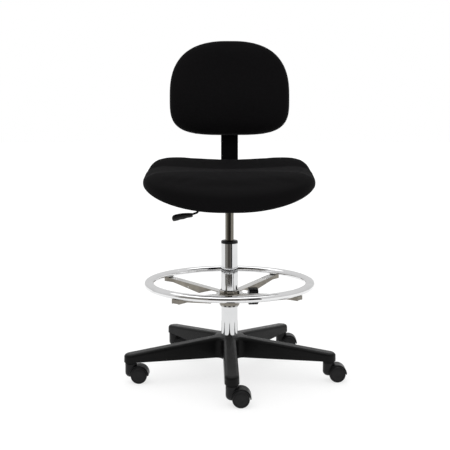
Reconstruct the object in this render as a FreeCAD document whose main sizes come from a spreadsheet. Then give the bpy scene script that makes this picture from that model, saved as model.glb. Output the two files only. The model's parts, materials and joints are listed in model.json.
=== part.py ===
"""Drafting chair: five-arm base, gas lift, foot ring, seat and backrest, one solid per piece.

Frame: millimetres, +Z up, the front of the chair faces -Y, and the origin is on the floor
under the column's axis.
"""

import FreeCAD, Part
import math
import os
import re

import Sketcher
from FreeCAD import Placement, Rotation, Vector

os.makedirs("parts", exist_ok=True)
doc = FreeCAD.newDocument("DraftingChair")
sheet = doc.addObject("Spreadsheet::Sheet", "Sizes")

# Driving dimensions: name, value in millimetres or degrees, meaning.
DIMENSIONS = [
    # five-arm base
    ("base_turn", 1.25, "turn of the whole base from straight ahead"),
    ("stem_circle", 306.2, "radius of the circle of caster stems"),
    ("arm_half_width", 20.6, "half the width of an arm"),
    ("arm_draft", 1.5, "moulding draft on the arm sides"),
    ("arm_edge_round", 9, "rounding along the top edges of an arm"),
    ("arm_wall", 4, "wall of the hollow underside of an arm"),
    ("arm_fork_round", 20, "rounding between two arms at the hub"),
    ("hub_top", 117.4, "height of the hub at the column"),
    ("arm_tip_top", 84.6, "height of the arm's top face at its tip"),
    ("arm_tip_reach", 330, "radius at which arm_tip_top is measured"),
    ("hub_bottom", 54, "height of the hub's underside"),
    ("arm_tip_bottom", 61.6, "height of the arm's underside near its tip"),
    ("hub_wall_radius", 41, "outer radius of the solid core of the hub"),
    ("socket_bottom", 58.5, "height of the foot of the caster socket boss"),
    ("socket_radius", 17.5, "outer radius of the caster socket boss"),
    ("hub_ring_radius", 34, "outer radius of the steel ring in the hub"),
    ("hub_ring_bore", 29.5, "inner radius of the steel ring in the hub"),
    ("hub_ring_height", 9, "height of the steel ring in the hub"),
    # casters
    ("wheel_radius", 24, "caster wheel radius"),
    ("wheel_inner", 4.6, "distance from the caster's middle to a wheel's inner face"),
    ("wheel_outer", 24.5, "distance from the caster's middle to a wheel's outer face"),
    ("caster_trail", 24, "distance from swivel axis to axle"),
    ("web_half", 4, "half the thickness of the hood's middle web"),
    ("hood_half", 21, "half the width of the caster hood"),
    ("hood_radius", 28.4, "outer radius of the caster hood over the wheels"),
    ("hood_clear", 0.8, "gap between a wheel's tread and the hood"),
    ("hood_boss_radius", 17.3, "radius of the hood's upright boss"),
    ("hood_top", 57.3, "height of the top of the hood's boss"),
    ("hood_foot", 17, "height of the foot of the hood's boss"),
    ("axle_radius", 3, "caster axle radius"),
    ("axle_half", 19.5, "half the length of the caster axle"),
    ("stem_radius", 5.5, "caster stem radius"),
    ("stem_foot", 43.3, "height of the lower end of a caster stem"),
    ("stem_head", 79.5, "height of the upper end of a caster stem"),
    ("run_gap", 0.05, "radial running clearance"),
    # column and gas spring
    ("tube_radius", 25, "column tube outer radius"),
    ("tube_wall", 2, "column tube wall"),
    ("tube_foot", 50, "height of the lower end of the column tube"),
    ("tube_head", 398.7, "height of the upper end of the column tube"),
    ("tube_taper_radius", 24.2, "column tube radius at its tapered lower end"),
    ("tube_taper_head", 112, "height at which the taper ends"),
    ("tube_floor", 4, "thickness of the tube's closed foot"),
    ("bushing_foot", 318, "height of the guide bushing's lower end"),
    ("collar_height", 8.5, "height of the guide bushing's collar above the tube"),
    ("collar_radius", 25.3, "outer radius of the collar"),
    ("rod_radius", 5, "piston rod radius"),
    ("rod_foot", 45, "height of the piston rod's lower end"),
    ("rod_head", 372, "height of the piston rod's upper end"),
    ("piston_height", 12, "height of the piston"),
    ("race_radius", 16, "outer radius of the bearing races"),
    ("race_height", 3, "thickness of a bearing race"),
    ("ball_radius", 1.95, "bearing ball radius"),
    ("ball_circle", 10.8, "radius of the circle of balls"),
    ("ball_gap", 4, "gap between the races"),
    ("bump_radius", 11, "bump stop outer radius"),
    ("bump_height", 12, "bump stop height"),
    ("clip_radius", 9, "rod clip outer radius"),
    ("gas_radius", 12.8, "gas spring cylinder radius"),
    ("gas_wall", 1.5, "gas spring cylinder wall"),
    ("gas_foot", 150, "height of the cylinder's lower end"),
    ("gas_taper_foot", 488, "height at which the cylinder's cone starts"),
    ("gas_head", 520, "height of the cylinder's upper end"),
    ("gas_cone_radius", 12.2, "cylinder radius at its upper end"),
    ("gland_height", 16, "height of the rod gland"),
    ("valve_radius", 3.5, "valve button radius"),
    ("valve_head", 526, "height of the top of the valve button"),
    ("valve_length", 14, "length of the valve button"),
    # foot ring
    ("ring_circle", 242.9, "radius of the foot ring's centre line"),
    ("ring_half_width", 14.4, "half the width of the oval ring tube, outwards from the column"),
    ("ring_tube", 9, "half the height of the oval ring tube"),
    ("ring_wall", 1.5, "foot ring tube wall"),
    ("ring_flat", 0.3, "half the flat left on the sides of the oval tube"),
    ("ring_height", 277.8, "height of the foot ring's centre line"),
    ("spoke_turn", 53, "direction of the first spoke"),
    ("spoke_half", 13, "half the width of a spoke"),
    ("spoke_sheet", 2.5, "sheet thickness of the spider"),
    ("spoke_reach", 251, "radius of a spoke's outer end"),
    ("spoke_root_top", 250, "height of a spoke's top at the hub"),
    ("spoke_lug_foot", 255.5, "height of the lower edge at a spoke's end"),
    ("spoke_lug_reach", 215, "radius at which a spoke's end block starts"),
    ("spoke_deep_reach", 109, "radius at which a spoke's side is deepest"),
    ("spoke_deep_foot", 233.6, "height of the lower edge there"),
    ("spoke_flange_root", 54, "radius at which the side flanges start"),
    ("ring_hub_radius", 30.5, "outer radius of the spider's hub"),
    ("ring_hub_bore", 27.1, "inner radius of the spider's hub"),
    ("ring_hub_foot", 206.6, "height of the hub's lower end"),
    ("ring_hub_head", 256.6, "height of the hub's upper end"),
    ("ring_plate_radius", 40, "radius of the plate that joins the spokes"),
    ("knob_turn", 6, "direction of the foot ring's clamp knob"),
    ("ring_knob_height", 234.6, "height of the clamp knob's axis"),
    ("ring_knob_radius", 26, "clamp knob radius"),
    ("knob_boss_radius", 9, "radius of the clamp knob's boss on the spider hub"),
    ("ring_knob_inner", 58, "distance from the column's axis to the knob"),
    ("ring_knob_outer", 86.5, "distance from the column's axis to the knob's face"),
    ("stud_radius", 4, "radius of the clamp studs"),
    ("knob_flute_reach", 1.16, "distance of a knob's flutes, in knob radii"),
    ("knob_flute_radius", 0.3, "radius of a knob's flutes, in knob radii"),
    # seat
    ("seat_half_width", 256, "half the width of the seat pad"),
    ("seat_front", 219, "distance from the column's axis to the seat's front edge"),
    ("seat_back", 192, "distance from the column's axis to the seat's rear edge"),
    ("seat_middle", 574, "height of the pad's middle surface over the column"),
    ("seat_front_drop", 38, "drop of the middle surface at the front edge"),
    ("seat_back_rise", 46, "rise of the middle surface at the rear edge"),
    ("seat_side_rise", 35, "rise of the middle surface at the rear, from the middle to the side"),
    ("seat_roll_start", 50, "distance at which the front starts to roll down"),
    ("seat_ramp_start", 78, "distance at which the rear starts to rise"),
    ("seat_half_thick", 36, "half the thickness of the pad"),
    ("board_bottom", 547, "height of the seat board's flat underside"),
    ("board_thick", 10, "seat board thickness"),
    ("board_half_width", 184, "half the width of the seat board"),
    ("board_front", 180, "distance from the column's axis to the board's front edge"),
    ("board_back", 150, "distance from the column's axis to the board's rear edge"),
    ("board_flat", 92, "half the length of the board's flat middle"),
    ("board_front_drop", 28, "drop of the board at its front edge"),
    ("board_back_rise", 24, "rise of the board at its rear edge"),
    ("cover_thick", 1.6, "underside cover thickness"),
    ("armrest_reach", 165, "distance from the middle to the armrest nuts"),
    ("armrest_spacing", 64, "front-to-back distance of the armrest nuts"),
    ("armrest_bolt", 4, "radius of the armrest bolt hole"),
    ("nut_radius", 6, "T-nut barrel radius"),
    ("nut_flange", 10, "T-nut flange radius"),
    # mechanism under the seat
    ("case_half_width", 47, "half the width of the mechanism housing"),
    ("case_front", 48, "distance from the column's axis to the housing's front wall"),
    ("case_back", 132, "distance from the column's axis to the housing's rear wall"),
    ("case_bottom", 497, "height of the housing's underside"),
    ("case_sheet", 2.5, "sheet thickness of the housing"),
    ("flange_half_width", 86, "half the width of the housing's bolting flange"),
    ("flange_front", 88, "distance from the column's axis to the flange's front edge"),
    ("flange_back", 99, "distance from the column's axis to the flange's rear edge"),
    ("plate_bolt_x", 74, "sideways distance of the plate bolts"),
    ("plate_bolt_front", 72, "distance of the front plate bolts"),
    ("plate_bolt_back", 85, "distance of the rear plate bolts"),
    ("socket_wall_radius", 18.5, "outer radius of the gas spring socket"),
    ("socket_foot", 494, "height of the socket's lower end"),
    ("socket_head", 518, "height of the socket's upper end"),
    ("lever_ear_apart", 11, "distance of the lever's ears from the middle plane"),
    ("lever_ear_half", 6, "half the width of an ear"),
    ("lever_ear_thick", 3, "thickness of an ear"),
    ("lever_port_radius", 8, "radius of the hole the lever comes out of"),
    ("plate_bolt_radius", 3, "radius of the plate bolts"),
    ("pivot_reach", 28, "sideways distance of the lever's pivot"),
    ("pivot_height", 520, "height of the lever's pivot"),
    ("pivot_radius", 2.5, "radius of the lever's and the backrest's pivot pins"),
    ("lever_radius", 3.2, "radius of the lever rod"),
    ("lever_gap", 0.9, "gap between the lever rod and the valve button"),
    ("grip_start", 113, "sideways distance of the inner end of the lever's grip"),
    ("grip_end", 172.5, "sideways distance of the outer end of the lever's grip"),
    ("grip_top", 488.8, "height of the grip's upper face"),
    ("grip_half", 10, "half the width of the grip"),
    ("grip_round", 3.2, "rounding along the grip's edges"),
    ("finger_radius", 9, "radius of the finger hollows under the grip"),
    # back bar
    ("bar_half_width", 27.5, "half the width of the back bar"),
    ("bar_thick", 7, "thickness of the back bar"),
    ("bar_bottom", 507, "height of the underside of the bar under the seat"),
    ("bar_start", 48, "distance from the column's axis to the bar's front end"),
    ("bar_upright", 203, "distance of the upright's front face at the bar's underside"),
    ("bar_lean", 6, "lean of the upright and the backrest"),
    ("bar_length", 345, "length of the upright from the bar's underside"),
    ("bar_bend", 26, "outer bend radius of the bar"),
    ("depth_knob_y", 104, "distance from the column's axis to the seat depth knob"),
    ("depth_knob_foot", 484, "height of the underside of the seat depth knob"),
    ("depth_knob_height", 11, "thickness of the seat depth knob"),
    ("small_knob_radius", 19, "radius of the seat depth and back height knobs"),
    # carriage and backrest, in a frame that leans with the bar
    ("pivot_up", 292, "distance along the upright to the backrest's pivot"),
    ("pivot_fore", 11.5, "distance from the bar's front face to the pivot"),
    ("carriage_half_width", 34, "half the width of the carriage"),
    ("carriage_half_height", 34, "half the height of the carriage"),
    ("carriage_front", 7, "thickness of the carriage in front of the bar"),
    ("carriage_back", 9, "thickness of the carriage behind the bar"),
    ("slide_gap", 0.25, "clearance between the bar and what slides on it"),
    ("ear_inner", 18, "inner face of the carriage's pivot ears"),
    ("ear_outer", 26, "outer face of the carriage's pivot ears"),
    ("ear_radius", 5.5, "radius of the ears round the pivot"),
    ("lug_inner", 12, "inner face of the bracket's lugs"),
    ("lug_outer", 17, "outer face of the bracket's lugs"),
    ("lug_radius", 4.2, "radius of the lugs round the pivot"),
    ("back_gap", 16, "gap between the bar and the outer shell"),
    ("shell_thick", 5, "thickness of the outer shell"),
    ("bracket_thick", 2.5, "thickness of the bracket plate"),
    ("bracket_half_width", 36, "half the width of the bracket plate"),
    ("bracket_half_height", 29, "half the height of the bracket plate"),
    ("back_screw_x", 29, "sideways distance of the bracket screws"),
    ("back_screw_z", 20, "distance of the bracket screws above and below the pivot"),
    ("back_screw_radius", 2.2, "radius of the bracket screws"),
    ("back_board_thick", 9, "thickness of the back board"),
    ("back_board_half", 158, "half the width of the back board"),
    ("back_board_low", 58, "distance of the board's lower edge below the pivot"),
    ("back_board_high", 190, "distance of the board's upper edge above the pivot"),
    ("back_board_foot_round", 60, "radius of the board's lower corners"),
    ("back_board_head_round", 112, "radius of the board's upper corners"),
    ("shell_margin", 8, "how far the shell stands out beyond the board"),
    ("back_half_width", 188, "half the width of the backrest"),
    ("back_waist", 40.5, "distance of the widest point above the pivot"),
    ("back_low", 77, "distance of the backrest's lower edge below the pivot"),
    ("back_high", 216, "distance of the backrest's upper edge above the pivot"),
    ("back_half_thick", 25, "half the thickness of the back cushion"),
    ("back_wrap", 12, "how far the sides of the cushion come forward"),
    ("lumbar_bulge", 8, "how far the cushion stands forward below the waist"),
    ("bulge_drop", 20, "distance of the bulge's middle below the waist"),
    ("bulge_reach", 70, "height over which the bulge fades"),
]


def fill_sheet():
    """Write the driving dimensions to the sheet, one row each, with the name as alias."""
    for row, (alias, value, meaning) in enumerate(DIMENSIONS, start=1):
        sheet.set(f"A{row}", meaning)
        sheet.set(f"B{row}", str(value))
        sheet.setAlias(f"B{row}", alias)
    doc.recompute()


fill_sheet()
ALIASES = {alias for alias, _, _ in DIMENSIONS}
NODES = []


def size(alias):
    """The number that the sheet holds for one driving dimension."""
    return float(sheet.get(alias))


def linked(expression):
    """The expression with every alias pointed at the sheet."""
    def point(match):
        word = match.group(0)
        return f"Sizes.{word}" if word in ALIASES else word

    return re.sub(r"[a-z][a-z_0-9]*", point, expression)


def bind(item, path, expression):
    item.setExpression(path, linked(expression))


def node(name, item):
    """Name a finished sub-part. Its label is the name of its file."""
    item.Label = name
    NODES.append((name, item))
    return item


def place(item, at=("0", "0", "0"), axis=None, angle=None):
    """Bind an object's position, and its turn about one axis, to the sheet."""
    if axis is not None:
        item.Placement = Placement(Vector(0, 0, 0), Rotation(Vector(*axis), 1))
        bind(item, "Placement.Rotation.Angle", angle)
    for letter, expression in zip("xyz", at):
        bind(item, f"Placement.Base.{letter}", expression)
    return item


# ---- sketches and PartDesign features ------------------------------------------------


def new_body(name):
    return doc.addObject("PartDesign::Body", name)


def new_sketch(body, name, role, offset="0"):
    """A sketch on one of the body's origin planes, raised along the plane's normal."""
    plane = next(item for item in body.Origin.OriginFeatures if item.Role == role)
    sketch = body.newObject("Sketcher::SketchObject", name)
    sketch.AttachmentSupport = [(plane, "")]
    sketch.MapMode = "FlatFace"
    bind(sketch, "AttachmentOffset.Base.z", offset)
    return sketch


def hold_point(sketch, edge, end, across, up, start=(1.0, 1.0)):
    """Fix one end of a sketch edge by its two distances from the sketch's origin."""
    rows = zip(("DistanceX", "DistanceY"), (across, up), start)
    for kind, expression, value in rows:
        number = sketch.addConstraint(Sketcher.Constraint(kind, -1, 1, edge, end, value))
        bind(sketch, f"Constraints[{number}]", expression)


def draw_polygon(sketch, corners):
    """A closed polygon, drawn as a regular one and pulled to its corners by constraints."""
    count = len(corners)
    first = sketch.GeometryCount
    ring = [
        Vector(math.cos(2 * math.pi * turn / count), math.sin(2 * math.pi * turn / count), 0)
        for turn in range(count)
    ]
    for index in range(count):
        sketch.addGeometry(Part.LineSegment(ring[index], ring[(index + 1) % count]))
    for index in range(count):
        following = first + (index + 1) % count
        sketch.addConstraint(Sketcher.Constraint("Coincident", first + index, 2, following, 1))
    for index, (across, up) in enumerate(corners):
        hold_point(sketch, first + index, 1, across, up)
    return sketch


def draw_circle(sketch, across, up, radius):
    edge = sketch.addGeometry(Part.Circle(Vector(1, 1, 0), Vector(0, 0, 1), 2))
    hold_point(sketch, edge, 3, across, up)
    number = sketch.addConstraint(Sketcher.Constraint("Radius", edge, 2.0))
    bind(sketch, f"Constraints[{number}]", radius)
    return sketch


def draw_slot_end(sketch, reach, half):
    """An arm's outline: straight sides from the middle to reach, then a half circle."""
    far = size(reach)
    wide = size(half)
    corners = [(0, -wide), (far, -wide), (far, wide), (0, wide)]
    points = [Vector(across, up, 0) for across, up in corners]
    sketch.addGeometry(Part.LineSegment(points[0], points[1]))
    circle = Part.Circle(Vector(far, 0, 0), Vector(0, 0, 1), wide)
    sketch.addGeometry(Part.ArcOfCircle(circle, -math.pi / 2, math.pi / 2))
    sketch.addGeometry(Part.LineSegment(points[2], points[3]))
    sketch.addGeometry(Part.LineSegment(points[3], points[0]))
    joins = [(0, 2, 1, 1), (1, 2, 2, 1), (2, 2, 3, 1), (3, 2, 0, 1)]
    for join in joins:
        sketch.addConstraint(Sketcher.Constraint("Coincident", *join))
    hold_point(sketch, 0, 1, "0", f"-{half}", corners[0])
    hold_point(sketch, 2, 2, "0", half, corners[3])
    hold_point(sketch, 1, 1, reach, f"-{half}", corners[1])
    hold_point(sketch, 2, 1, reach, half, corners[2])
    number = sketch.addConstraint(Sketcher.Constraint("DistanceX", -1, 1, 1, 3, far))
    bind(sketch, f"Constraints[{number}]", reach)
    return sketch


def draw_half_disc(sketch, across, up, radius):
    """The upper half of a disc, closed by its diameter."""
    centre = Vector(size(across), size(up), 0)
    reach = Vector(size(radius), 0, 0)
    circle = Part.Circle(centre, Vector(0, 0, 1), size(radius))
    sketch.addGeometry(Part.ArcOfCircle(circle, 0, math.pi))
    sketch.addGeometry(Part.LineSegment(centre - reach, centre + reach))
    sketch.addConstraint(Sketcher.Constraint("Coincident", 0, 2, 1, 1))
    sketch.addConstraint(Sketcher.Constraint("Coincident", 1, 2, 0, 1))
    hold_point(sketch, 0, 3, across, up)
    number = sketch.addConstraint(Sketcher.Constraint("Radius", 0, size(radius)))
    bind(sketch, f"Constraints[{number}]", radius)
    for end in (1, 2):
        number = sketch.addConstraint(Sketcher.Constraint("DistanceY", -1, 1, 0, end, 1.0))
        bind(sketch, f"Constraints[{number}]", up)
    return sketch


def grow(body, kind, sketch, length, middle=False, back=False, taper=None):
    """Pad or Pocket a sketch by a length, towards or against its normal or both ways."""
    feature = body.newObject(f"PartDesign::{kind}", kind)
    feature.Profile = sketch
    feature.Midplane = middle
    feature.Reversed = back
    bind(feature, "Length", length)
    if taper is not None:
        bind(feature, "TaperAngle", taper)
    doc.recompute()
    return feature


def spin(body, kind, sketch, axis="V_Axis"):
    """Revolution or Groove of a sketch, all the way round one of its own axes."""
    feature = body.newObject(f"PartDesign::{kind}", kind)
    feature.Profile = sketch
    feature.ReferenceAxis = (sketch, [axis])
    feature.Angle = 360
    doc.recompute()
    return feature


def ring_of(body, features, count, sketch):
    """Repeat features round the body's vertical axis. The sketch lies across that axis."""
    pattern = body.newObject("PartDesign::PolarPattern", "PolarPattern")
    pattern.Originals = features
    pattern.Axis = (sketch, ["N_Axis"])
    pattern.Angle = 360
    pattern.Occurrences = count
    body.Tip = pattern
    doc.recompute()
    return pattern


def soften(body, kind, amount, wanted):
    """Fillet or Chamfer the edges of the body's last feature that the test picks."""
    last = body.Tip
    names = [
        f"Edge{number}"
        for number, edge in enumerate(last.Shape.Edges, start=1)
        if wanted(edge)
    ]
    feature = body.newObject(f"PartDesign::{kind}", kind)
    feature.Base = (last, names)
    bind(feature, "Radius" if kind == "Fillet" else "Size", amount)
    body.Tip = feature
    doc.recompute()
    return feature


def turned(name, corners, part_name=None, axis_role="XZ_Plane", axis="V_Axis"):
    """A body turned from a polygon of (radius, height) corners."""
    body = new_body(part_name or name)
    sketch = draw_polygon(new_sketch(body, f"{body.Name}_profile", axis_role), corners)
    spin(body, "Revolution", sketch, axis)
    return body


def middle_of(edge):
    first, last = edge.ParameterRange
    return edge.valueAt((first + last) / 2)


def level(height, tolerance=0.05):
    """A test that picks edges lying flat at one height."""
    def wanted(edge):
        box = edge.BoundBox
        return abs(box.ZMin - height) < tolerance and abs(box.ZMax - height) < tolerance

    return wanted


# ---- Part primitives ------------------------------------------------------------------


def cylinder(name, radius, height, at=("0", "0", "0"), axis=None, angle=None):
    item = doc.addObject("Part::Cylinder", name)
    bind(item, "Radius", radius)
    bind(item, "Height", height)
    return place(item, at, axis, angle)


def box(name, length, width, height, at):
    item = doc.addObject("Part::Box", name)
    bind(item, "Length", length)
    bind(item, "Width", width)
    bind(item, "Height", height)
    return place(item, at)


def cut(name, base, tool):
    item = doc.addObject("Part::Cut", name)
    item.Base = base
    item.Tool = tool
    return item


def fuse(name, items):
    item = doc.addObject("Part::MultiFuse", name)
    item.Shapes = items
    return item


def common(name, items):
    item = doc.addObject("Part::MultiCommon", name)
    item.Shapes = items
    return item


def group(name, items):
    """Separate identical solids that share one node."""
    item = doc.addObject("Part::Compound", name)
    item.Links = items
    return item


# ---- base --------------------------------------------------------------------------------

ARM_SLOPE = "((hub_top - arm_tip_top) / (arm_tip_reach - tube_radius))"


def arm_top(radius):
    """Height of the arm's top face at a radius, as an expression."""
    return f"hub_top - {ARM_SLOPE} * ({radius} - tube_radius)"


def base_star():
    body = new_body("base_star")
    plan = new_sketch(body, "arm_plan", "XY_Plane", "hub_bottom")
    draw_slot_end(plan, "stem_circle", "arm_half_width")
    arm = grow(body, "Pad", plan, "hub_top + 8 - hub_bottom", taper="-arm_draft")
    ring_of(body, [arm], 5, plan)
    # The forks between the arms are the steep edges close to the hub.
    fork_reach = size("arm_half_width")
    soften(body, "Fillet", "arm_fork_round", lambda edge: (
        edge.BoundBox.ZLength > size("hub_top") - size("hub_bottom")
        and fork_reach < math.hypot(middle_of(edge).x, middle_of(edge).y) < 2 * fork_reach))
    above = draw_polygon(new_sketch(body, "above_arms", "XZ_Plane"), [
        ("0", arm_top("0")),
        ("arm_tip_reach + 20", arm_top("(arm_tip_reach + 20)")),
        ("arm_tip_reach + 20", "hub_top + 40"),
        ("0", "hub_top + 40"),
    ])
    spin(body, "Groove", above)
    slope_top = size("hub_top") + 5

    def on_top_rim(edge):
        middle = middle_of(edge)
        radius = math.hypot(middle.x, middle.y)
        slope = (size("hub_top") - size("arm_tip_top")) / (
            size("arm_tip_reach") - size("tube_radius"))
        height = size("hub_top") - slope * (radius - size("tube_radius"))
        return abs(middle.z - height) < 0.05 and middle.z < slope_top and radius > 25

    soften(body, "Fillet", "arm_edge_round", on_top_rim)
    below = draw_polygon(new_sketch(body, "below_arms", "XZ_Plane"), [
        ("hub_wall_radius + 20", "hub_bottom - 5"),
        ("hub_wall_radius + 20", "hub_bottom"),
        ("stem_circle - socket_radius - 4", "arm_tip_bottom"),
        ("arm_tip_reach + 20", "arm_tip_bottom"),
        ("arm_tip_reach + 20", "hub_bottom - 5"),
    ])
    spin(body, "Groove", below)
    hollow = draw_polygon(new_sketch(body, "arm_hollow", "XZ_Plane"), [
        ("hub_wall_radius", "hub_bottom - 5"),
        ("stem_circle - socket_radius - 2", "hub_bottom - 5"),
        ("stem_circle - socket_radius - 2",
         arm_top("(stem_circle - socket_radius - 2)") + " - arm_wall"),
        ("hub_wall_radius", arm_top("hub_wall_radius") + " - arm_wall"),
    ])
    inside = grow(body, "Pocket", hollow, "2 * (arm_half_width - arm_wall) - 3", middle=True)
    ring_of(body, [inside], 5, plan)
    ribs = []
    for part in (0.3, 0.62):
        reach = f"hub_wall_radius + {part} * (stem_circle - hub_wall_radius)"
        rib = draw_polygon(new_sketch(body, "arm_rib", "XZ_Plane"), [
            (reach, "arm_tip_bottom + 1"),
            (f"{reach} + 2.5", "arm_tip_bottom + 1"),
            (f"{reach} + 2.5", arm_top("stem_circle")),
            (reach, arm_top("stem_circle")),
        ])
        ribs.append(grow(body, "Pad", rib, "2 * (arm_half_width - arm_wall)", middle=True))
    ring_of(body, ribs, 5, plan)
    boss = new_sketch(body, "socket_plan", "XY_Plane", "socket_bottom")
    draw_circle(boss, "stem_circle", "0", "socket_radius")
    foot = grow(body, "Pad", boss, "16")
    ring_of(body, [foot], 5, plan)
    hole = new_sketch(body, "socket_hole", "XY_Plane", "socket_bottom - 1")
    draw_circle(hole, "stem_circle", "0", "stem_radius")
    socket = grow(body, "Pocket", hole, "stem_head - socket_bottom + 1", back=True)
    ring_of(body, [socket], 5, plan)
    bore = draw_polygon(new_sketch(body, "column_bore", "XZ_Plane"), [
        ("0", "tube_foot"),
        ("tube_taper_radius", "tube_foot"),
        ("tube_radius", "tube_taper_head"),
        ("tube_radius", "hub_top + 40"),
        ("0", "hub_top + 40"),
    ])
    spin(body, "Groove", bore)
    seat = draw_polygon(new_sketch(body, "ring_groove", "XZ_Plane"), [
        ("hub_ring_bore", "hub_bottom - 5"),
        ("hub_ring_radius", "hub_bottom - 5"),
        ("hub_ring_radius", "hub_bottom + hub_ring_height"),
        ("hub_ring_bore", "hub_bottom + hub_ring_height"),
    ])
    spin(body, "Groove", seat)
    place(body, axis=(0, 0, 1), angle="base_turn - 90")
    return node("base_star", body)


def hub_ring():
    return node("hub_ring", turned("hub_ring", [
        ("hub_ring_bore", "hub_bottom"),
        ("hub_ring_radius", "hub_bottom"),
        ("hub_ring_radius", "hub_bottom + hub_ring_height"),
        ("hub_ring_bore", "hub_bottom + hub_ring_height"),
    ]))


def caster_stems():
    stems = []
    for arm in range(5):
        turn = f"(base_turn - 90 + 72 * {arm})"
        stems.append(cylinder(f"stem_{arm + 1}", "stem_radius", "stem_head - stem_foot", (
            f"stem_circle * cos({turn})", f"stem_circle * sin({turn})", "stem_foot")))
    return node("caster_stems", group("caster_stems", stems))


# ---- casters -----------------------------------------------------------------------------


def caster_hood(name):
    """Hood of a twin-wheel caster, with its swivel axis on the body's Z axis."""
    body = new_body(name)
    post = draw_circle(new_sketch(body, "boss", "XY_Plane", "hood_foot"),
                       "0", "0", "hood_boss_radius")
    grow(body, "Pad", post, "hood_top - hood_foot")
    soften(body, "Fillet", "hood_boss_radius - 4", level(size("hood_foot")))
    soften(body, "Fillet", "1.2", level(size("hood_top")))
    cover = draw_half_disc(new_sketch(body, "cover", "XZ_Plane"),
                           "caster_trail", "wheel_radius", "hood_radius")
    grow(body, "Pad", cover, "2 * hood_half", middle=True)
    soften(body, "Fillet", "4", lambda edge: (
        edge.Curve.TypeId == "Part::GeomCircle"
        and abs(edge.Curve.Radius - size("hood_radius")) < 0.01))
    for back in (False, True):
        well = draw_circle(new_sketch(body, "wheel_well", "XZ_Plane",
                                      "web_half" if back else "-web_half"),
                           "caster_trail", "wheel_radius", "wheel_radius + hood_clear")
        grow(body, "Pocket", well, "3 * hood_half", back=back)
    web = draw_circle(new_sketch(body, "axle_eye", "XZ_Plane"),
                      "caster_trail", "wheel_radius", "3 * axle_radius")
    grow(body, "Pad", web, "2 * web_half", middle=True)
    axle = draw_circle(new_sketch(body, "axle_hole", "XZ_Plane"),
                       "caster_trail", "wheel_radius", "axle_radius")
    grow(body, "Pocket", axle, "4 * hood_half", middle=True)
    stem = draw_circle(new_sketch(body, "stem_hole", "XY_Plane", "hood_top"),
                       "0", "0", "stem_radius + run_gap")
    grow(body, "Pocket", stem, "hood_top - stem_foot + 0.3")
    return body


def caster_wheel(name):
    """Wheel that turns about the body's Y axis, with its inner face towards the middle."""
    body = new_body(name)
    rim = draw_polygon(new_sketch(body, "wheel_profile", "YZ_Plane"), [
        ("wheel_inner", "axle_radius + run_gap"),
        ("axle_half + 0.4", "axle_radius + run_gap"),
        ("axle_half + 0.4", "0"),
        ("wheel_outer - 0.8", "0"),
        ("wheel_outer - 0.8", "wheel_radius - 5.6"),
        ("wheel_outer - 1.6", "wheel_radius - 5"),
        ("wheel_outer - 1.6", "wheel_radius - 4.2"),
        ("wheel_outer", "wheel_radius - 3.6"),
        ("wheel_outer", "wheel_radius - 2.2"),
        ("wheel_outer - 0.8", "wheel_radius - 0.7"),
        ("wheel_outer - 2.4", "wheel_radius"),
        ("wheel_inner + 2", "wheel_radius"),
        ("wheel_inner", "wheel_radius - 2"),
    ])
    spin(body, "Revolution", rim, "H_Axis")
    return body


def casters():
    for arm in range(5):
        turn = f"(base_turn - 90 + 72 * {arm})"
        east = f"stem_circle * cos({turn})"
        north = f"stem_circle * sin({turn})"
        hub = (f"{east} + caster_trail", north, "wheel_radius")
        prefix = f"caster_{arm + 1}"
        hood = caster_hood(f"{prefix}_hood")
        node(f"{prefix}_hood", place(hood, (east, north, "0")))
        axle = cylinder(f"{prefix}_axle", "axle_radius", "2 * axle_half",
                        (hub[0], f"{north} + axle_half", hub[2]), (1, 0, 0), "90")
        node(f"{prefix}_axle", axle)
        left = caster_wheel(f"{prefix}_wheel_front")
        node(f"{prefix}_wheel_front", place(left, hub, (0, 0, 1), "180"))
        right = caster_wheel(f"{prefix}_wheel_rear")
        node(f"{prefix}_wheel_rear", place(right, hub))


# ---- column and gas spring ----------------------------------------------------------------


def column_tube():
    return node("column_tube", turned("column_tube", [
        ("rod_radius + 0.3", "tube_foot"),
        ("tube_taper_radius", "tube_foot"),
        ("tube_radius", "tube_taper_head"),
        ("tube_radius", "tube_head"),
        ("tube_radius - tube_wall", "tube_head"),
        ("tube_radius - tube_wall", "tube_taper_head"),
        ("tube_taper_radius - tube_wall", "tube_foot + tube_floor"),
        ("rod_radius + 0.3", "tube_foot + tube_floor"),
    ]))


def guide_bushing():
    return node("guide_bushing", turned("guide_bushing", [
        ("gas_radius + run_gap", "bushing_foot"),
        ("tube_radius - tube_wall", "bushing_foot"),
        ("tube_radius - tube_wall", "tube_head"),
        ("collar_radius", "tube_head"),
        ("collar_radius", "tube_head + collar_height - 2"),
        ("collar_radius - 2.5", "tube_head + collar_height"),
        ("gas_radius + 2", "tube_head + collar_height"),
        ("gas_radius + run_gap", "tube_head + collar_height - 1"),
    ]))


def disc_with_bore(name, bore, radius, foot, head):
    """A flat ring between two heights."""
    return node(name, turned(name, [(bore, foot), (radius, foot), (radius, head), (bore, head)]))


def bearing():
    floor = "tube_foot + tube_floor"
    lower_top = f"{floor} + race_height"
    upper_foot = f"{lower_top} + ball_gap"
    upper_top = f"{upper_foot} + race_height"
    disc_with_bore("bearing_lower_race", "rod_radius + 1", "race_radius", floor, lower_top)
    disc_with_bore("bearing_upper_race", "rod_radius", "race_radius", upper_foot, upper_top)
    disc_with_bore("bump_stop", "rod_radius", "bump_radius", upper_top,
                   f"{upper_top} + bump_height")
    disc_with_bore("rod_clip", "rod_radius", "clip_radius", "tube_foot - 2.6", "tube_foot - 0.4")
    balls = []
    for ball in range(8):
        item = doc.addObject("Part::Sphere", f"ball_{ball + 1}")
        bind(item, "Radius", "ball_radius")
        place(item, (f"ball_circle * cos({45 * ball})", f"ball_circle * sin({45 * ball})",
                     f"{lower_top} + ball_gap / 2"))
        balls.append(item)
    node("bearing_balls", group("bearing_balls", balls))


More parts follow.
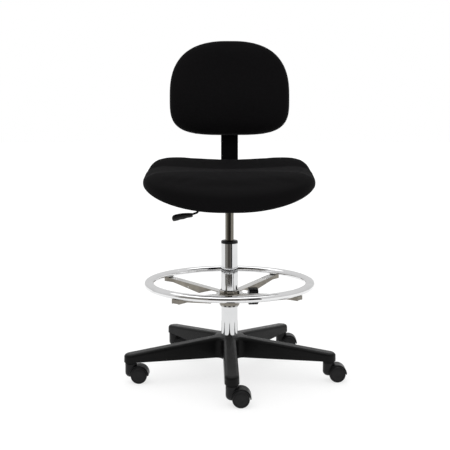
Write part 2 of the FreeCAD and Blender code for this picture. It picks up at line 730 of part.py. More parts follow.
def gas_spring():
    node("piston_rod", cylinder("piston_rod", "rod_radius", "rod_head - rod_foot",
                                ("0", "0", "rod_foot")))
    disc_with_bore("piston", "rod_radius", "gas_radius - gas_wall - run_gap",
                   "rod_head - piston_height - 1", "rod_head - 1")
    bore = "gas_radius - gas_wall"
    node("gas_cylinder", turned("gas_cylinder", [
        (bore, "gas_foot"),
        ("gas_radius - 1", "gas_foot"),
        ("gas_radius", "gas_foot + 1"),
        ("gas_radius", "gas_taper_foot"),
        ("gas_cone_radius", "gas_head"),
        ("valve_radius + run_gap", "gas_head"),
        ("valve_radius + run_gap", "gas_head - 3"),
        ("gas_cone_radius - 2", "gas_head - 3"),
        (bore, "gas_taper_foot - 10"),
    ]))
    disc_with_bore("rod_gland", "rod_radius + run_gap", bore, "gas_foot",
                   "gas_foot + gland_height")
    node("valve_button", cylinder("valve_button", "valve_radius", "valve_length",
                                  ("0", "0", "valve_head - valve_length")))


# ---- foot ring ------------------------------------------------------------------------------

SPOKE_TOP = "(ring_height - ring_tube)"
SPOKE_SLOPE = f"(({SPOKE_TOP} - spoke_root_top) / (ring_circle - spoke_flange_root))"


def spoke_top(radius):
    return f"spoke_root_top + {SPOKE_SLOPE} * ({radius} - spoke_flange_root)"


def oval_ring(name, wall):
    """The foot ring as a solid, made smaller all round by a wall thickness."""
    half = f"(ring_half_width - {wall})"
    rise = f"(ring_tube - {wall})"
    body = turned(name, [
        (f"ring_circle - {half}", f"ring_height - {rise}"),
        (f"ring_circle + {half}", f"ring_height - {rise}"),
        (f"ring_circle + {half}", f"ring_height + {rise}"),
        (f"ring_circle - {half}", f"ring_height + {rise}"),
    ])
    soften(body, "Fillet", f"{rise} - ring_flat", lambda edge: edge.Length > 1000)
    return body


def foot_ring():
    tube = cut("ring_pipe", oval_ring("ring_outside", "0"), oval_ring("ring_inside", "ring_wall"))
    holes = []
    screws = []
    for spoke in range(4):
        turn = f"(spoke_turn + {90 * spoke})"
        at = (f"ring_circle * cos({turn})", f"ring_circle * sin({turn})")
        foot = f"{SPOKE_TOP} - spoke_sheet - 2.4"
        holes.append(cylinder(f"ring_hole_{spoke + 1}", "2.5", "9",
                              (*at, f"{SPOKE_TOP} - 4")))
        head = cylinder(f"screw_head_{spoke + 1}", "4.5", "3.5", (*at, f"{foot} - 3.5"))
        shank = cylinder(f"screw_shank_{spoke + 1}", "2.5", f"{SPOKE_TOP} + 4 - ({foot})",
                         (*at, foot))
        screws.append(fuse(f"ring_screw_{spoke + 1}", [head, shank]))
    node("foot_ring", cut("foot_ring", tube, fuse("ring_holes", holes)))
    node("ring_screws", group("ring_screws", screws))


def ring_spider():
    body = new_body("ring_spider")
    hub = draw_polygon(new_sketch(body, "hub_profile", "XZ_Plane"), [
        ("ring_hub_bore", "ring_hub_foot"),
        ("ring_hub_radius - 3", "ring_hub_foot"),
        ("ring_hub_radius", "ring_hub_foot + 5"),
        ("ring_hub_radius", "ring_hub_head - 1"),
        ("ring_hub_radius - 1", "ring_hub_head"),
        ("ring_hub_bore", "ring_hub_head"),
    ])
    spin(body, "Revolution", hub)
    plate = draw_polygon(new_sketch(body, "plate_profile", "XZ_Plane"), [
        ("ring_hub_bore", "spoke_root_top - 2 * spoke_sheet"),
        ("ring_plate_radius", "spoke_root_top - 2 * spoke_sheet"),
        ("ring_plate_radius", "spoke_root_top - spoke_sheet"),
        ("ring_hub_bore", "spoke_root_top - spoke_sheet"),
    ])
    spin(body, "Revolution", plate)
    features = []
    top = draw_polygon(new_sketch(body, "spoke_top", "XZ_Plane"), [
        ("ring_hub_bore + 1", spoke_top("(ring_hub_bore + 1)")),
        ("ring_hub_bore + 1", spoke_top("(ring_hub_bore + 1)") + " - spoke_sheet"),
        ("spoke_reach", spoke_top("spoke_reach") + " - 1.6 - spoke_sheet"),
        ("spoke_reach", spoke_top("spoke_reach") + " - 1.6"),
        ("ring_circle", f"{SPOKE_TOP}"),
    ])
    features.append(grow(body, "Pad", top, "2 * spoke_half", middle=True))
    side = [
        ("spoke_flange_root", spoke_top("spoke_flange_root") + " - 0.5"),
        ("spoke_deep_reach", "spoke_deep_foot"),
        ("spoke_lug_reach", "spoke_lug_foot"),
        ("spoke_reach", "spoke_lug_foot"),
        ("spoke_reach", spoke_top("spoke_reach") + " - 1.6 - 0.5"),
        ("ring_circle", f"{SPOKE_TOP} - 0.5"),
    ]
    for name, offset, back in (("near", "spoke_half", True), ("far", "-spoke_half", False)):
        wall = draw_polygon(new_sketch(body, f"spoke_{name}", "XZ_Plane", offset), side)
        features.append(grow(body, "Pad", wall, "spoke_sheet", back=back))
    cap = draw_polygon(new_sketch(body, "spoke_cap", "XZ_Plane"), [
        ("spoke_reach - spoke_sheet", "spoke_lug_foot + 1"),
        ("spoke_reach", "spoke_lug_foot + 1"),
        ("spoke_reach", spoke_top("spoke_reach") + " - 1.6 - 0.5"),
        ("spoke_reach - spoke_sheet", spoke_top("spoke_reach") + " - 1.6 - 0.5"),
    ])
    features.append(grow(body, "Pad", cap, "2 * spoke_half", middle=True))
    plan = new_sketch(body, "screw_plan", "XY_Plane", "spoke_root_top")
    draw_circle(plan, "ring_circle", "0", "2.5")
    ring_of(body, features, 4, plan)
    hole = grow(body, "Pocket", plan, "2 * ring_tube + 10", back=True)
    ring_of(body, [hole], 4, plan)
    slot = new_sketch(body, "wall_hole", "XZ_Plane")
    draw_circle(slot, "(spoke_deep_reach + spoke_lug_reach) / 2 - 8",
                "(spoke_deep_foot + spoke_lug_foot) / 2 + 2.6", "2.2")
    eye = grow(body, "Pocket", slot, "3 * spoke_half", middle=True)
    ring_of(body, [eye], 4, plan)
    boss = new_sketch(body, "knob_boss", "YZ_Plane")
    draw_circle(boss, "0", "ring_knob_height", "knob_boss_radius")
    turn_to_knob(boss, "ring_hub_radius - 1.6")
    grow(body, "Pad", boss, "ring_knob_inner - ring_hub_radius - 14")
    thread = new_sketch(body, "knob_thread", "YZ_Plane")
    draw_circle(thread, "0", "ring_knob_height", "stud_radius + run_gap")
    turn_to_knob(thread, "0")
    grow(body, "Pocket", thread, "3 * ring_hub_radius", back=True)
    node("ring_spider", place(body, axis=(0, 0, 1), angle="spoke_turn"))


def turn_to_knob(sketch, reach):
    """Face a sketch toward the clamp knob, at a distance from the column's axis."""
    apart = math.radians(size("knob_turn") - size("spoke_turn"))
    sketch.AttachmentOffset = Placement(Vector(math.sin(apart), 0, math.cos(apart)),
                                        Rotation(Vector(0, 1, 0), math.degrees(apart)))
    bind(sketch, "AttachmentOffset.Rotation.Angle", "knob_turn - spoke_turn")
    bind(sketch, "AttachmentOffset.Base.x", f"({reach}) * sin(knob_turn - spoke_turn)")
    bind(sketch, "AttachmentOffset.Base.z", f"({reach}) * cos(knob_turn - spoke_turn)")


def ring_sleeve():
    disc_with_bore("ring_sleeve", "tube_radius + run_gap", "ring_hub_bore - run_gap",
                   "ring_hub_foot + 1", "ring_hub_head - 1")


def lobed_knob(name, radius, length, stud, lobes):
    """Knob on the body's Z axis, with scalloped sides and a stud on its inner side."""
    body = new_body(name)
    grip = draw_circle(new_sketch(body, "grip", "XY_Plane"), "0", "0", radius)
    grow(body, "Pad", grip, length)
    flute = draw_circle(new_sketch(body, "flute", "XY_Plane", "-1"),
                        f"{radius} * knob_flute_reach", "0", f"{radius} * knob_flute_radius")
    scoop = grow(body, "Pocket", flute, f"{length} + 2", back=True)
    ring_of(body, [scoop], lobes, grip)
    soften(body, "Fillet", "2", lambda edge: (
        edge.BoundBox.ZLength < 0.05 and middle_of(edge).z > 1))
    shank = draw_circle(new_sketch(body, "stud", "XY_Plane", "1"), "0", "0", "stud_radius")
    grow(body, "Pad", shank, f"{stud} + 1", back=True)
    return body


def ring_knob():
    knob = lobed_knob("ring_knob", "ring_knob_radius", "ring_knob_outer - ring_knob_inner",
                      "ring_knob_inner - ring_hub_bore - 0.3", 6)
    turn = "knob_turn"
    item = place(knob, (f"ring_knob_inner * cos({turn})", f"ring_knob_inner * sin({turn})",
                        "ring_knob_height"))
    item.Placement = Placement(item.Placement.Base, Rotation(Vector(0, 1, 0), 90))
    bind(item, "Placement.Rotation.Yaw", turn)
    return node("ring_knob", item)


# ---- seat --------------------------------------------------------------------------------


def closed_curve(points):
    curve = Part.BSplineCurve()
    curve.interpolate(Points=points, PeriodicFlag=True)
    return Part.Wire([curve.toShape()])


def bowed(turn, power):
    """Point of a superellipse of unit size at one angle."""
    across = math.copysign(abs(math.cos(turn)) ** (2 / power), math.cos(turn))
    up = math.copysign(abs(math.sin(turn)) ** (2 / power), math.sin(turn))
    return across, up


def dome(part, power):
    """Height of a superellipse of unit size, part of the way from its middle to its end."""
    return (1 - min(abs(part), 1) ** power) ** (1 / power)


STATIONS = 15
SECTION_POINTS = 28
END_SHARE = 0.985
# Powers of the superellipses that shape the pads: 2 is an ellipse, larger is squarer.
SEAT_PLAN_REAR, SEAT_PLAN_FRONT, SEAT_ENDS = 3.6, 2.0, 3.8
SEAT_TOP, SEAT_UNDERSIDE = 3.3, 2.8
BACK_ABOVE, BACK_BELOW, BACK_SECTION = 2.8, 3.3, 2.8
BACK_FACE_ENDS, BACK_REAR_ENDS = 4, 8
# The dish of the seat grows from this share at the front to the whole at the rear.
FRONT_DISH_SHARE = 0.18
DISH_START, DISH_LENGTH = -40, 190


def stations(low, high):
    """Places between two ends, closer together near the ends."""
    for number in range(STATIONS):
        swing = -math.cos(math.pi * number / (STATIONS - 1)) * END_SHARE
        yield swing * (high if swing > 0 else -low)


def seat_curve():
    """The closed sections that the seat pad is lofted through, from front to rear."""
    front, rear = size("seat_front"), size("seat_back")
    for y in stations(-front, rear):
        part = y / (rear if y > 0 else front)
        half = size("seat_half_width") * dome(part, SEAT_PLAN_REAR if y > 0 else SEAT_PLAN_FRONT)
        thick = size("seat_half_thick") * dome(part, SEAT_ENDS)
        roll = max(-y - size("seat_roll_start"), 0) / (front - size("seat_roll_start"))
        ramp = max(y - size("seat_ramp_start"), 0) / (rear - size("seat_ramp_start"))
        middle = (size("seat_middle") - size("seat_front_drop") * roll ** 1.15
                  + size("seat_back_rise") * ramp ** 1.1)
        share = min(max((y - DISH_START) / DISH_LENGTH, 0), 1)
        eased = share * share * (3 - 2 * share)
        rise = size("seat_side_rise") * (FRONT_DISH_SHARE + (1 - FRONT_DISH_SHARE) * eased)
        points = []
        for step in range(SECTION_POINTS):
            turn = 2 * math.pi * step / SECTION_POINTS
            across, up = bowed(turn, SEAT_TOP if turn < math.pi else SEAT_UNDERSIDE)
            x = half * across
            lift = rise * (x / size("seat_half_width")) ** 2
            points.append(Vector(x, y, middle + lift + thick * up))
        yield closed_curve(points)


def solid_feature(name, shape):
    item = doc.addObject("Part::Feature", name)
    item.Shape = shape
    return item


def rounded_plate(name, role, low, high, left, right, foot, thick, low_round, high_round):
    """A plate with four rounded corners: low_round on the low edge, high_round on the high."""
    body = new_body(name)
    corners = [(left, low), (right, low), (right, high), (left, high)]
    outline = draw_polygon(new_sketch(body, f"{name}_outline", role, foot), corners)
    grow(body, "Pad", outline, thick)
    across = (size_of(low), size_of(high))
    for edge_at, radius in zip(across, (low_round, high_round)):
        soften(body, "Fillet", radius, near_corner(role, edge_at))
    return body


def size_of(expression):
    """The value of a plain alias or of its negative."""
    return -size(expression[1:]) if expression.startswith("-") else size(expression)


def near_corner(role, place_of_edge):
    """A test that picks a plate's straight edges across its thickness, at one end of it."""
    def wanted(edge):
        middle = middle_of(edge)
        if role == "XY_Plane":
            return edge.BoundBox.ZLength > 1 and abs(middle.y - place_of_edge) < 0.5
        return edge.BoundBox.YLength > 1 and abs(middle.z - place_of_edge) < 0.5

    return wanted


def bent_profile(name, drop_from, thick):
    """Curved slab across the seat: drop_from is its top face's distance above the board's
    underside, and thick its thickness, following the board's front roll and rear ramp."""
    body = new_body(name)
    top = f"board_bottom + {drop_from}"
    stops = [
        ("-board_front - 30", f"- board_front_drop * (board_front + 30 - board_flat)"
         " / (board_front - board_flat)"),
        ("-board_flat", ""),
        ("board_flat", ""),
        ("board_back + 30", "+ board_back_rise * (board_back + 30 - board_flat)"
         " / (board_back - board_flat)"),
    ]
    upper = [(y, f"{top} {change}") for y, change in stops]
    lower = [(y, f"{top} - {thick} {change}") for y, change in reversed(stops)]
    side = draw_polygon(new_sketch(body, f"{name}_profile", "YZ_Plane"), upper + lower)
    grow(body, "Pad", side, "2 * seat_half_width", middle=True)
    return body


def seat_outline(name, margin):
    """Prism of the board's outline, made smaller by a margin."""
    return rounded_plate(name, "XY_Plane", "-board_front", "board_back",
                         f"-board_half_width + {margin}", f"board_half_width - {margin}",
                         "board_bottom - 150", "300", "board_front - 25", "85")


def seat_bolts():
    """The armrest T-nuts, with their holes, and the bolts that hold the mechanism."""
    nuts, nut_holes, bolts, bolt_holes, clear = [], [], [], [], []
    spots = [(f"{side} armrest_reach", f"{end} armrest_spacing / 2")
             for side in ("-", "+") for end in ("-", "+")]
    for number, (x, y) in enumerate(spots, start=1):
        barrel = cylinder(f"nut_barrel_{number}", "nut_radius", "board_thick",
                          (x, y, "board_bottom"))
        flange = cylinder(f"nut_flange_{number}", "nut_flange", "1.5",
                          (x, y, "board_bottom + board_thick"))
        hole = cylinder(f"nut_hole_{number}", "armrest_bolt", "board_thick + 20",
                        (x, y, "board_bottom - 5"))
        nuts.append(cut(f"nut_{number}", fuse(f"nut_body_{number}", [barrel, flange]), hole))
        nut_holes.append(barrel)
        clear.append(cylinder(f"nut_room_{number}", "nut_flange + 0.5", "18",
                              (x, y, "board_bottom + board_thick")))
    flats = [(f"{side} plate_bolt_x", end) for side in ("-", "+")
             for end in ("-plate_bolt_front", "plate_bolt_back")]
    for number, (x, y) in enumerate(flats, start=1):
        shank = cylinder(f"bolt_shank_{number}", "plate_bolt_radius", "board_thick + case_sheet",
                         (x, y, "board_bottom - case_sheet"))
        head = cylinder(f"bolt_head_{number}", "2 * plate_bolt_radius", "4.5",
                        (x, y, "board_bottom - case_sheet - 4.5"))
        bolts.append(fuse(f"bolt_{number}", [shank, head]))
        bolt_holes.append(shank)
    return nuts, nut_holes, bolts, bolt_holes, clear


def seat():
    nuts, nut_holes, bolts, bolt_holes, clear = seat_bolts()
    node("tee_nuts", group("tee_nuts", nuts))
    node("plate_bolts", group("plate_bolts", bolts))
    slab = bent_profile("board_slab", "board_thick", "board_thick")
    outline = seat_outline("board_outline", "0")
    blank = common("board_blank", [slab, outline])
    holes = fuse("board_holes", nut_holes + bolt_holes)
    node("seat_board", cut("seat_board", blank, holes))
    skin = bent_profile("cover_slab", "0", "cover_thick")
    sheet_blank = common("cover_blank", [skin, seat_outline("cover_outline", "4")])
    window = box("cover_window", "2 * flange_half_width + 6", "flange_front + flange_back",
                 "60", ("-flange_half_width - 3", "-flange_front - 3", "board_bottom - 30"))
    ports = [cylinder(f"cover_port_{number}", "nut_flange", "40",
                      (f"{side} armrest_reach", f"{end} armrest_spacing / 2",
                       "board_bottom - 20"))
             for number, (side, end) in enumerate(
                 [("-", "-"), ("-", "+"), ("+", "-"), ("+", "+")], start=1)]
    node("underside_cover", cut("underside_cover", sheet_blank,
                                fuse("cover_holes", [window] + ports)))
    doc.recompute()
    pad = Part.makeLoft(list(seat_curve()), True, False)
    raw = solid_feature("seat_pad_raw", pad)
    below = bent_profile("below_board", "board_thick", "80")
    recess = common("seat_recess", [below, outline])
    node("seat_cushion", cut("seat_cushion", raw, fuse("seat_recesses", [recess] + clear)))


def gas_cone_at(height):
    """Radius of the gas spring's cone at a height, as an expression."""
    return ("gas_radius - (gas_radius - gas_cone_radius)"
            f" * ({height} - gas_taper_foot) / (gas_head - gas_taper_foot)")


def mechanism():
    body = new_body("mechanism_housing")
    flange = rectangle(body, "flange", "board_bottom - case_sheet", "flange_half_width",
                       "-flange_front", "flange_back")
    grow(body, "Pad", flange, "case_sheet")
    case = rectangle(body, "case", "case_bottom", "case_half_width", "-case_front", "case_back")
    grow(body, "Pad", case, "board_bottom - case_bottom")
    soften(body, "Fillet", "7", lambda edge: (
        edge.BoundBox.ZLength > 20 or abs(middle_of(edge).z - size("case_bottom")) < 0.1))
    hollow = rectangle(body, "hollow", "case_bottom + case_sheet",
                       "case_half_width - case_sheet", "-case_front + case_sheet",
                       "case_back - case_sheet")
    grow(body, "Pocket", hollow, "100", back=True)
    bridge = rectangle(body, "bar_bridge", "bar_bottom + bar_thick + slide_gap",
                       "case_half_width - case_sheet / 2", "depth_knob_y - 22",
                       "depth_knob_y + 14")
    grow(body, "Pad", bridge, "case_sheet")
    ear_foot = "case_bottom + case_sheet / 2"
    for side in ("-", ""):
        ear = draw_polygon(new_sketch(body, "pivot_ear", "XZ_Plane", f"{side}lever_ear_apart"), [
            ("-pivot_reach - lever_ear_half", ear_foot),
            ("-pivot_reach + lever_ear_half", ear_foot),
            ("-pivot_reach + lever_ear_half", "pivot_height + 2"),
            ("-pivot_reach + 2", "pivot_height + lever_ear_half"),
            ("-pivot_reach - 2", "pivot_height + lever_ear_half"),
            ("-pivot_reach - lever_ear_half", "pivot_height + 2"),
        ])
        grow(body, "Pad", ear, "lever_ear_thick", middle=True)
    holes = new_sketch(body, "floor_holes", "XY_Plane", "case_bottom - 5")
    draw_circle(holes, "0", "0", "socket_wall_radius")
    draw_circle(holes, "0", "depth_knob_y", "stud_radius + run_gap")
    grow(body, "Pocket", holes, "12", back=True)
    bolt = new_sketch(body, "flange_holes", "XY_Plane", "board_bottom - 10")
    for side in ("-", ""):
        for far in ("-plate_bolt_front", "plate_bolt_back"):
            draw_circle(bolt, f"{side}plate_bolt_x", far, "plate_bolt_radius")
    grow(body, "Pocket", bolt, "20", back=True)
    pin = draw_circle(new_sketch(body, "pin_hole", "XZ_Plane"), "-pivot_reach",
                      "pivot_height", "pivot_radius")
    grow(body, "Pocket", pin, "30", middle=True)
    port = draw_circle(new_sketch(body, "lever_port", "YZ_Plane", "-case_half_width - 5"),
                       "0", "pivot_height - 6", "lever_port_radius")
    grow(body, "Pocket", port, "12", back=True)
    slot = draw_polygon(new_sketch(body, "bar_port", "XZ_Plane", "-case_back - 5"), [
        ("-bar_half_width - slide_gap", "bar_bottom - slide_gap"),
        ("bar_half_width + slide_gap", "bar_bottom - slide_gap"),
        ("bar_half_width + slide_gap", "bar_bottom + bar_thick + slide_gap"),
        ("-bar_half_width - slide_gap", "bar_bottom + bar_thick + slide_gap"),
    ])
    grow(body, "Pocket", slot, "12", back=True)
    node("mechanism_housing", body)
    node("spring_socket", turned("spring_socket", [
        ("socket_wall_radius", "socket_foot"),
        ("socket_wall_radius", "socket_head"),
        (gas_cone_at("socket_head"), "socket_head"),
        (gas_cone_at("socket_foot"), "socket_foot"),
    ]))
    node("lever_pin", cylinder("lever_pin", "pivot_radius", "26",
                               ("-pivot_reach", "13", "pivot_height"), (1, 0, 0), "90"))


def rectangle(body, name, foot, half, low, high):
    """A rectangle across the chair, symmetric about its middle."""
    return draw_polygon(new_sketch(body, f"{name}_plan", "XY_Plane", foot), [
        (f"-({half})", low), (half, low), (half, high), (f"-({half})", high)])


def lever():
    rest = "valve_head + lever_gap + lever_radius"
    body = new_body("lever_rod")
    path = new_sketch(body, "lever_path", "XZ_Plane")
    stops = [
        ("8", rest),
        ("-8", rest),
        ("-pivot_reach", "pivot_height"),
        ("-62", "pivot_height - 11"),
        ("-90", "pivot_height - 21"),
        ("-98", "pivot_height - 29.5"),
        ("-grip_start - 18", "grip_top - 9.5"),
    ]
    starts = [Vector(-12 * number, number * number, 0) for number in range(len(stops))]
    for number in range(len(stops) - 1):
        path.addGeometry(Part.LineSegment(starts[number], starts[number + 1]))
    for number in range(len(stops) - 2):
        path.addConstraint(Sketcher.Constraint("Coincident", number, 2, number + 1, 1))
    for number, (x, z) in enumerate(stops[:-1]):
        hold_point(path, number, 1, x, z)
    hold_point(path, len(stops) - 2, 2, *stops[-1])
    wire = draw_circle(new_sketch(body, "rod_section", "YZ_Plane", "8"), "0", rest,
                       "lever_radius")
    doc.recompute()
    pipe = body.newObject("PartDesign::AdditivePipe", "rod")
    pipe.Profile = wire
    pipe.Spine = (path, [])
    pipe.Transition = "Right corner"
    doc.recompute()
    eye = draw_circle(new_sketch(body, "eye", "XZ_Plane"), "-pivot_reach", "pivot_height", "6")
    grow(body, "Pad", eye, "17", middle=True)
    hole = draw_circle(new_sketch(body, "eye_hole", "XZ_Plane"), "-pivot_reach",
                       "pivot_height", "pivot_radius + run_gap")
    grow(body, "Pocket", hole, "40", middle=True)
    node("lever_rod", body)
    grip = new_body("grip_blank")
    shape = draw_polygon(new_sketch(grip, "grip_profile", "XZ_Plane"), [
        ("-grip_start", "grip_top - 1"),
        ("-grip_start - 4", "grip_top"),
        ("-grip_start - 27", "grip_top"),
        ("-grip_end + 5", "grip_top - 5.5"),
        ("-grip_end", "grip_top - 10"),
        ("-grip_end", "grip_top - 17"),
        ("-grip_end + 6", "grip_top - 23.5"),
        ("-grip_end + 14", "grip_top - 23"),
        ("-grip_start", "grip_top - 9.4"),
    ])
    grow(grip, "Pad", shape, "2 * grip_half", middle=True)
    for reach, depth in ((15, 21.4), (34, 27.2)):
        scallop = draw_circle(new_sketch(grip, "scallop", "XZ_Plane"),
                              f"-grip_start - {reach}", f"grip_top - {depth}", "finger_radius")
        grow(grip, "Pocket", scallop, "4 * grip_half", middle=True)
    soften(grip, "Fillet", "grip_round", lambda edge: (
        edge.BoundBox.YLength < 0.1 and abs(abs(middle_of(edge).y) - size("grip_half")) < 0.1))
    node("lever_grip", cut("lever_grip", grip, body))


def back_bar():
    body = new_body("back_bar")
    run = "bar_length * sin(bar_lean)"
    rise = "bar_length * cos(bar_lean)"
    side = draw_polygon(new_sketch(body, "bar_profile", "YZ_Plane"), [
        ("bar_start", "bar_bottom"),
        ("bar_upright + bar_thick / cos(bar_lean)", "bar_bottom"),
        (f"bar_upright + bar_thick * cos(bar_lean) + {run}",
         f"bar_bottom - bar_thick * sin(bar_lean) + {rise}"),
        (f"bar_upright + {run}", f"bar_bottom + {rise}"),
        ("bar_upright + bar_thick * tan(bar_lean)", "bar_bottom + bar_thick"),
        ("bar_start", "bar_bottom + bar_thick"),
    ])
    grow(body, "Pad", side, "2 * bar_half_width", middle=True)

    def at_bend(low, high):
        return lambda edge: (
            edge.BoundBox.XLength > size("bar_half_width")
            and low < middle_of(edge).y - size("bar_upright") < high
            and middle_of(edge).z < size("bar_bottom") + 10)

    soften(body, "Fillet", "bar_bend", at_bend(5, 9))
    soften(body, "Fillet", "bar_bend - bar_thick", at_bend(-1, 4))
    soften(body, "Fillet", "9", lambda edge: (
        edge.BoundBox.XLength < 0.1 and edge.Length < 8
        and (middle_of(edge).z > size("bar_bottom") + 100 or middle_of(edge).y < 60)))
    node("back_bar", body)


def depth_knob():
    knob = lobed_knob("depth_knob", "small_knob_radius", "depth_knob_height",
                      "bar_bottom - depth_knob_foot - depth_knob_height - 0.4", 5)
    item = place(knob, ("0", "depth_knob_y", "depth_knob_foot + depth_knob_height"),
                 (1, 0, 0), "180")
    return node("depth_knob", item)


def lean(item, fore="0"):
    """Put a body that is drawn about the backrest's pivot height on the leaning bar."""
    return place(item, (
        "0",
        f"bar_upright + pivot_up * sin(bar_lean) + ({fore}) * cos(bar_lean)",
        f"bar_bottom + pivot_up * cos(bar_lean) - ({fore}) * sin(bar_lean)",
    ), (1, 0, 0), "-bar_lean")


def upright_box(body, name, half, low, high, near, far):
    """Pad a block between two distances from the bar's front face, positive to the rear."""
    plan = draw_polygon(new_sketch(body, name, "XZ_Plane", f"-({far})"), [
        (f"-({half})", low), (half, low), (half, high), (f"-({half})", high)])
    return plan, f"{far} - ({near})"


def carriage():
    body = new_body("back_carriage")
    high = "carriage_half_height"
    block, depth = upright_box(body, "block", "carriage_half_width", f"-{high}", high,
                               "-carriage_front", "bar_thick + carriage_back")
    grow(body, "Pad", block, depth)
    soften(body, "Fillet", "4", lambda edge: True)
    for side in ("-", ""):
        ear = new_sketch(body, "ear", "YZ_Plane",
                         f"{side}(ear_inner + ear_outer) / 2")
        draw_polygon(ear, [
            ("-carriage_front + 1", "-ear_radius"),
            ("-carriage_front + 1", "ear_radius"),
            ("-pivot_fore", "ear_radius"),
            ("-pivot_fore - ear_radius * 0.7071", "ear_radius * 0.7071"),
            ("-pivot_fore - ear_radius", "0"),
            ("-pivot_fore - ear_radius * 0.7071", "-ear_radius * 0.7071"),
            ("-pivot_fore", "-ear_radius"),
        ])
        grow(body, "Pad", ear, "ear_outer - ear_inner", middle=True)
    pin = draw_circle(new_sketch(body, "pin_hole", "YZ_Plane"), "-pivot_fore", "0",
                      "pivot_radius + run_gap")
    grow(body, "Pocket", pin, "100", middle=True)
    slot, deep = upright_box(body, "bar_slot", "bar_half_width + slide_gap", "-100", "100",
                             "-slide_gap", "bar_thick + slide_gap")
    grow(body, "Pocket", slot, deep, back=True)
    thread = draw_circle(new_sketch(body, "stud_hole", "XZ_Plane", "-30"), "0", "0",
                         "stud_radius + run_gap")
    grow(body, "Pocket", thread, "24", back=True)
    node("back_carriage", lean(body))


def height_knob():
    start = "bar_thick + carriage_back + 1.5"
    knob = lobed_knob("height_knob", "small_knob_radius", "20",
                      f"{start} - bar_thick - 0.6", 5)
    item = place(knob, (
        "0",
        f"bar_upright + pivot_up * sin(bar_lean) + ({start}) * cos(bar_lean)",
        f"bar_bottom + pivot_up * cos(bar_lean) - ({start}) * sin(bar_lean)",
    ), (1, 0, 0), "-90 - bar_lean")
    return node("height_knob", item)


# ---- backrest ----------------------------------------------------------------------------


def back_curve():
    """The closed sections that the back cushion is lofted through, from foot to top."""
    waist = size("back_waist")
    rear = size("back_half_thick") / 2
    middle = -size("back_gap") - size("shell_thick") - rear
    for height in stations(-size("back_low") - waist, size("back_high") - waist):
        above = height > 0
        end = size("back_high") - waist if above else size("back_low") + waist
        part = height / end
        half = size("back_half_width") * dome(part, BACK_ABOVE if above else BACK_BELOW)
        bulge = size("lumbar_bulge") * math.exp(-((height + size("bulge_drop"))
                                                  / size("bulge_reach")) ** 2)
        front = (1.5 * size("back_half_thick") + bulge) * dome(part, BACK_FACE_ENDS)
        points = []
        for step in range(SECTION_POINTS):
            across, fore = bowed(2 * math.pi * step / SECTION_POINTS, BACK_SECTION)
            x = half * across
            wrap = size("back_wrap") * (x / size("back_half_width")) ** 2
            deep = rear * dome(part, BACK_REAR_ENDS) if fore > 0 else front + wrap
            points.append(Vector(x, middle + deep * fore, height + waist))
        yield closed_curve(points)


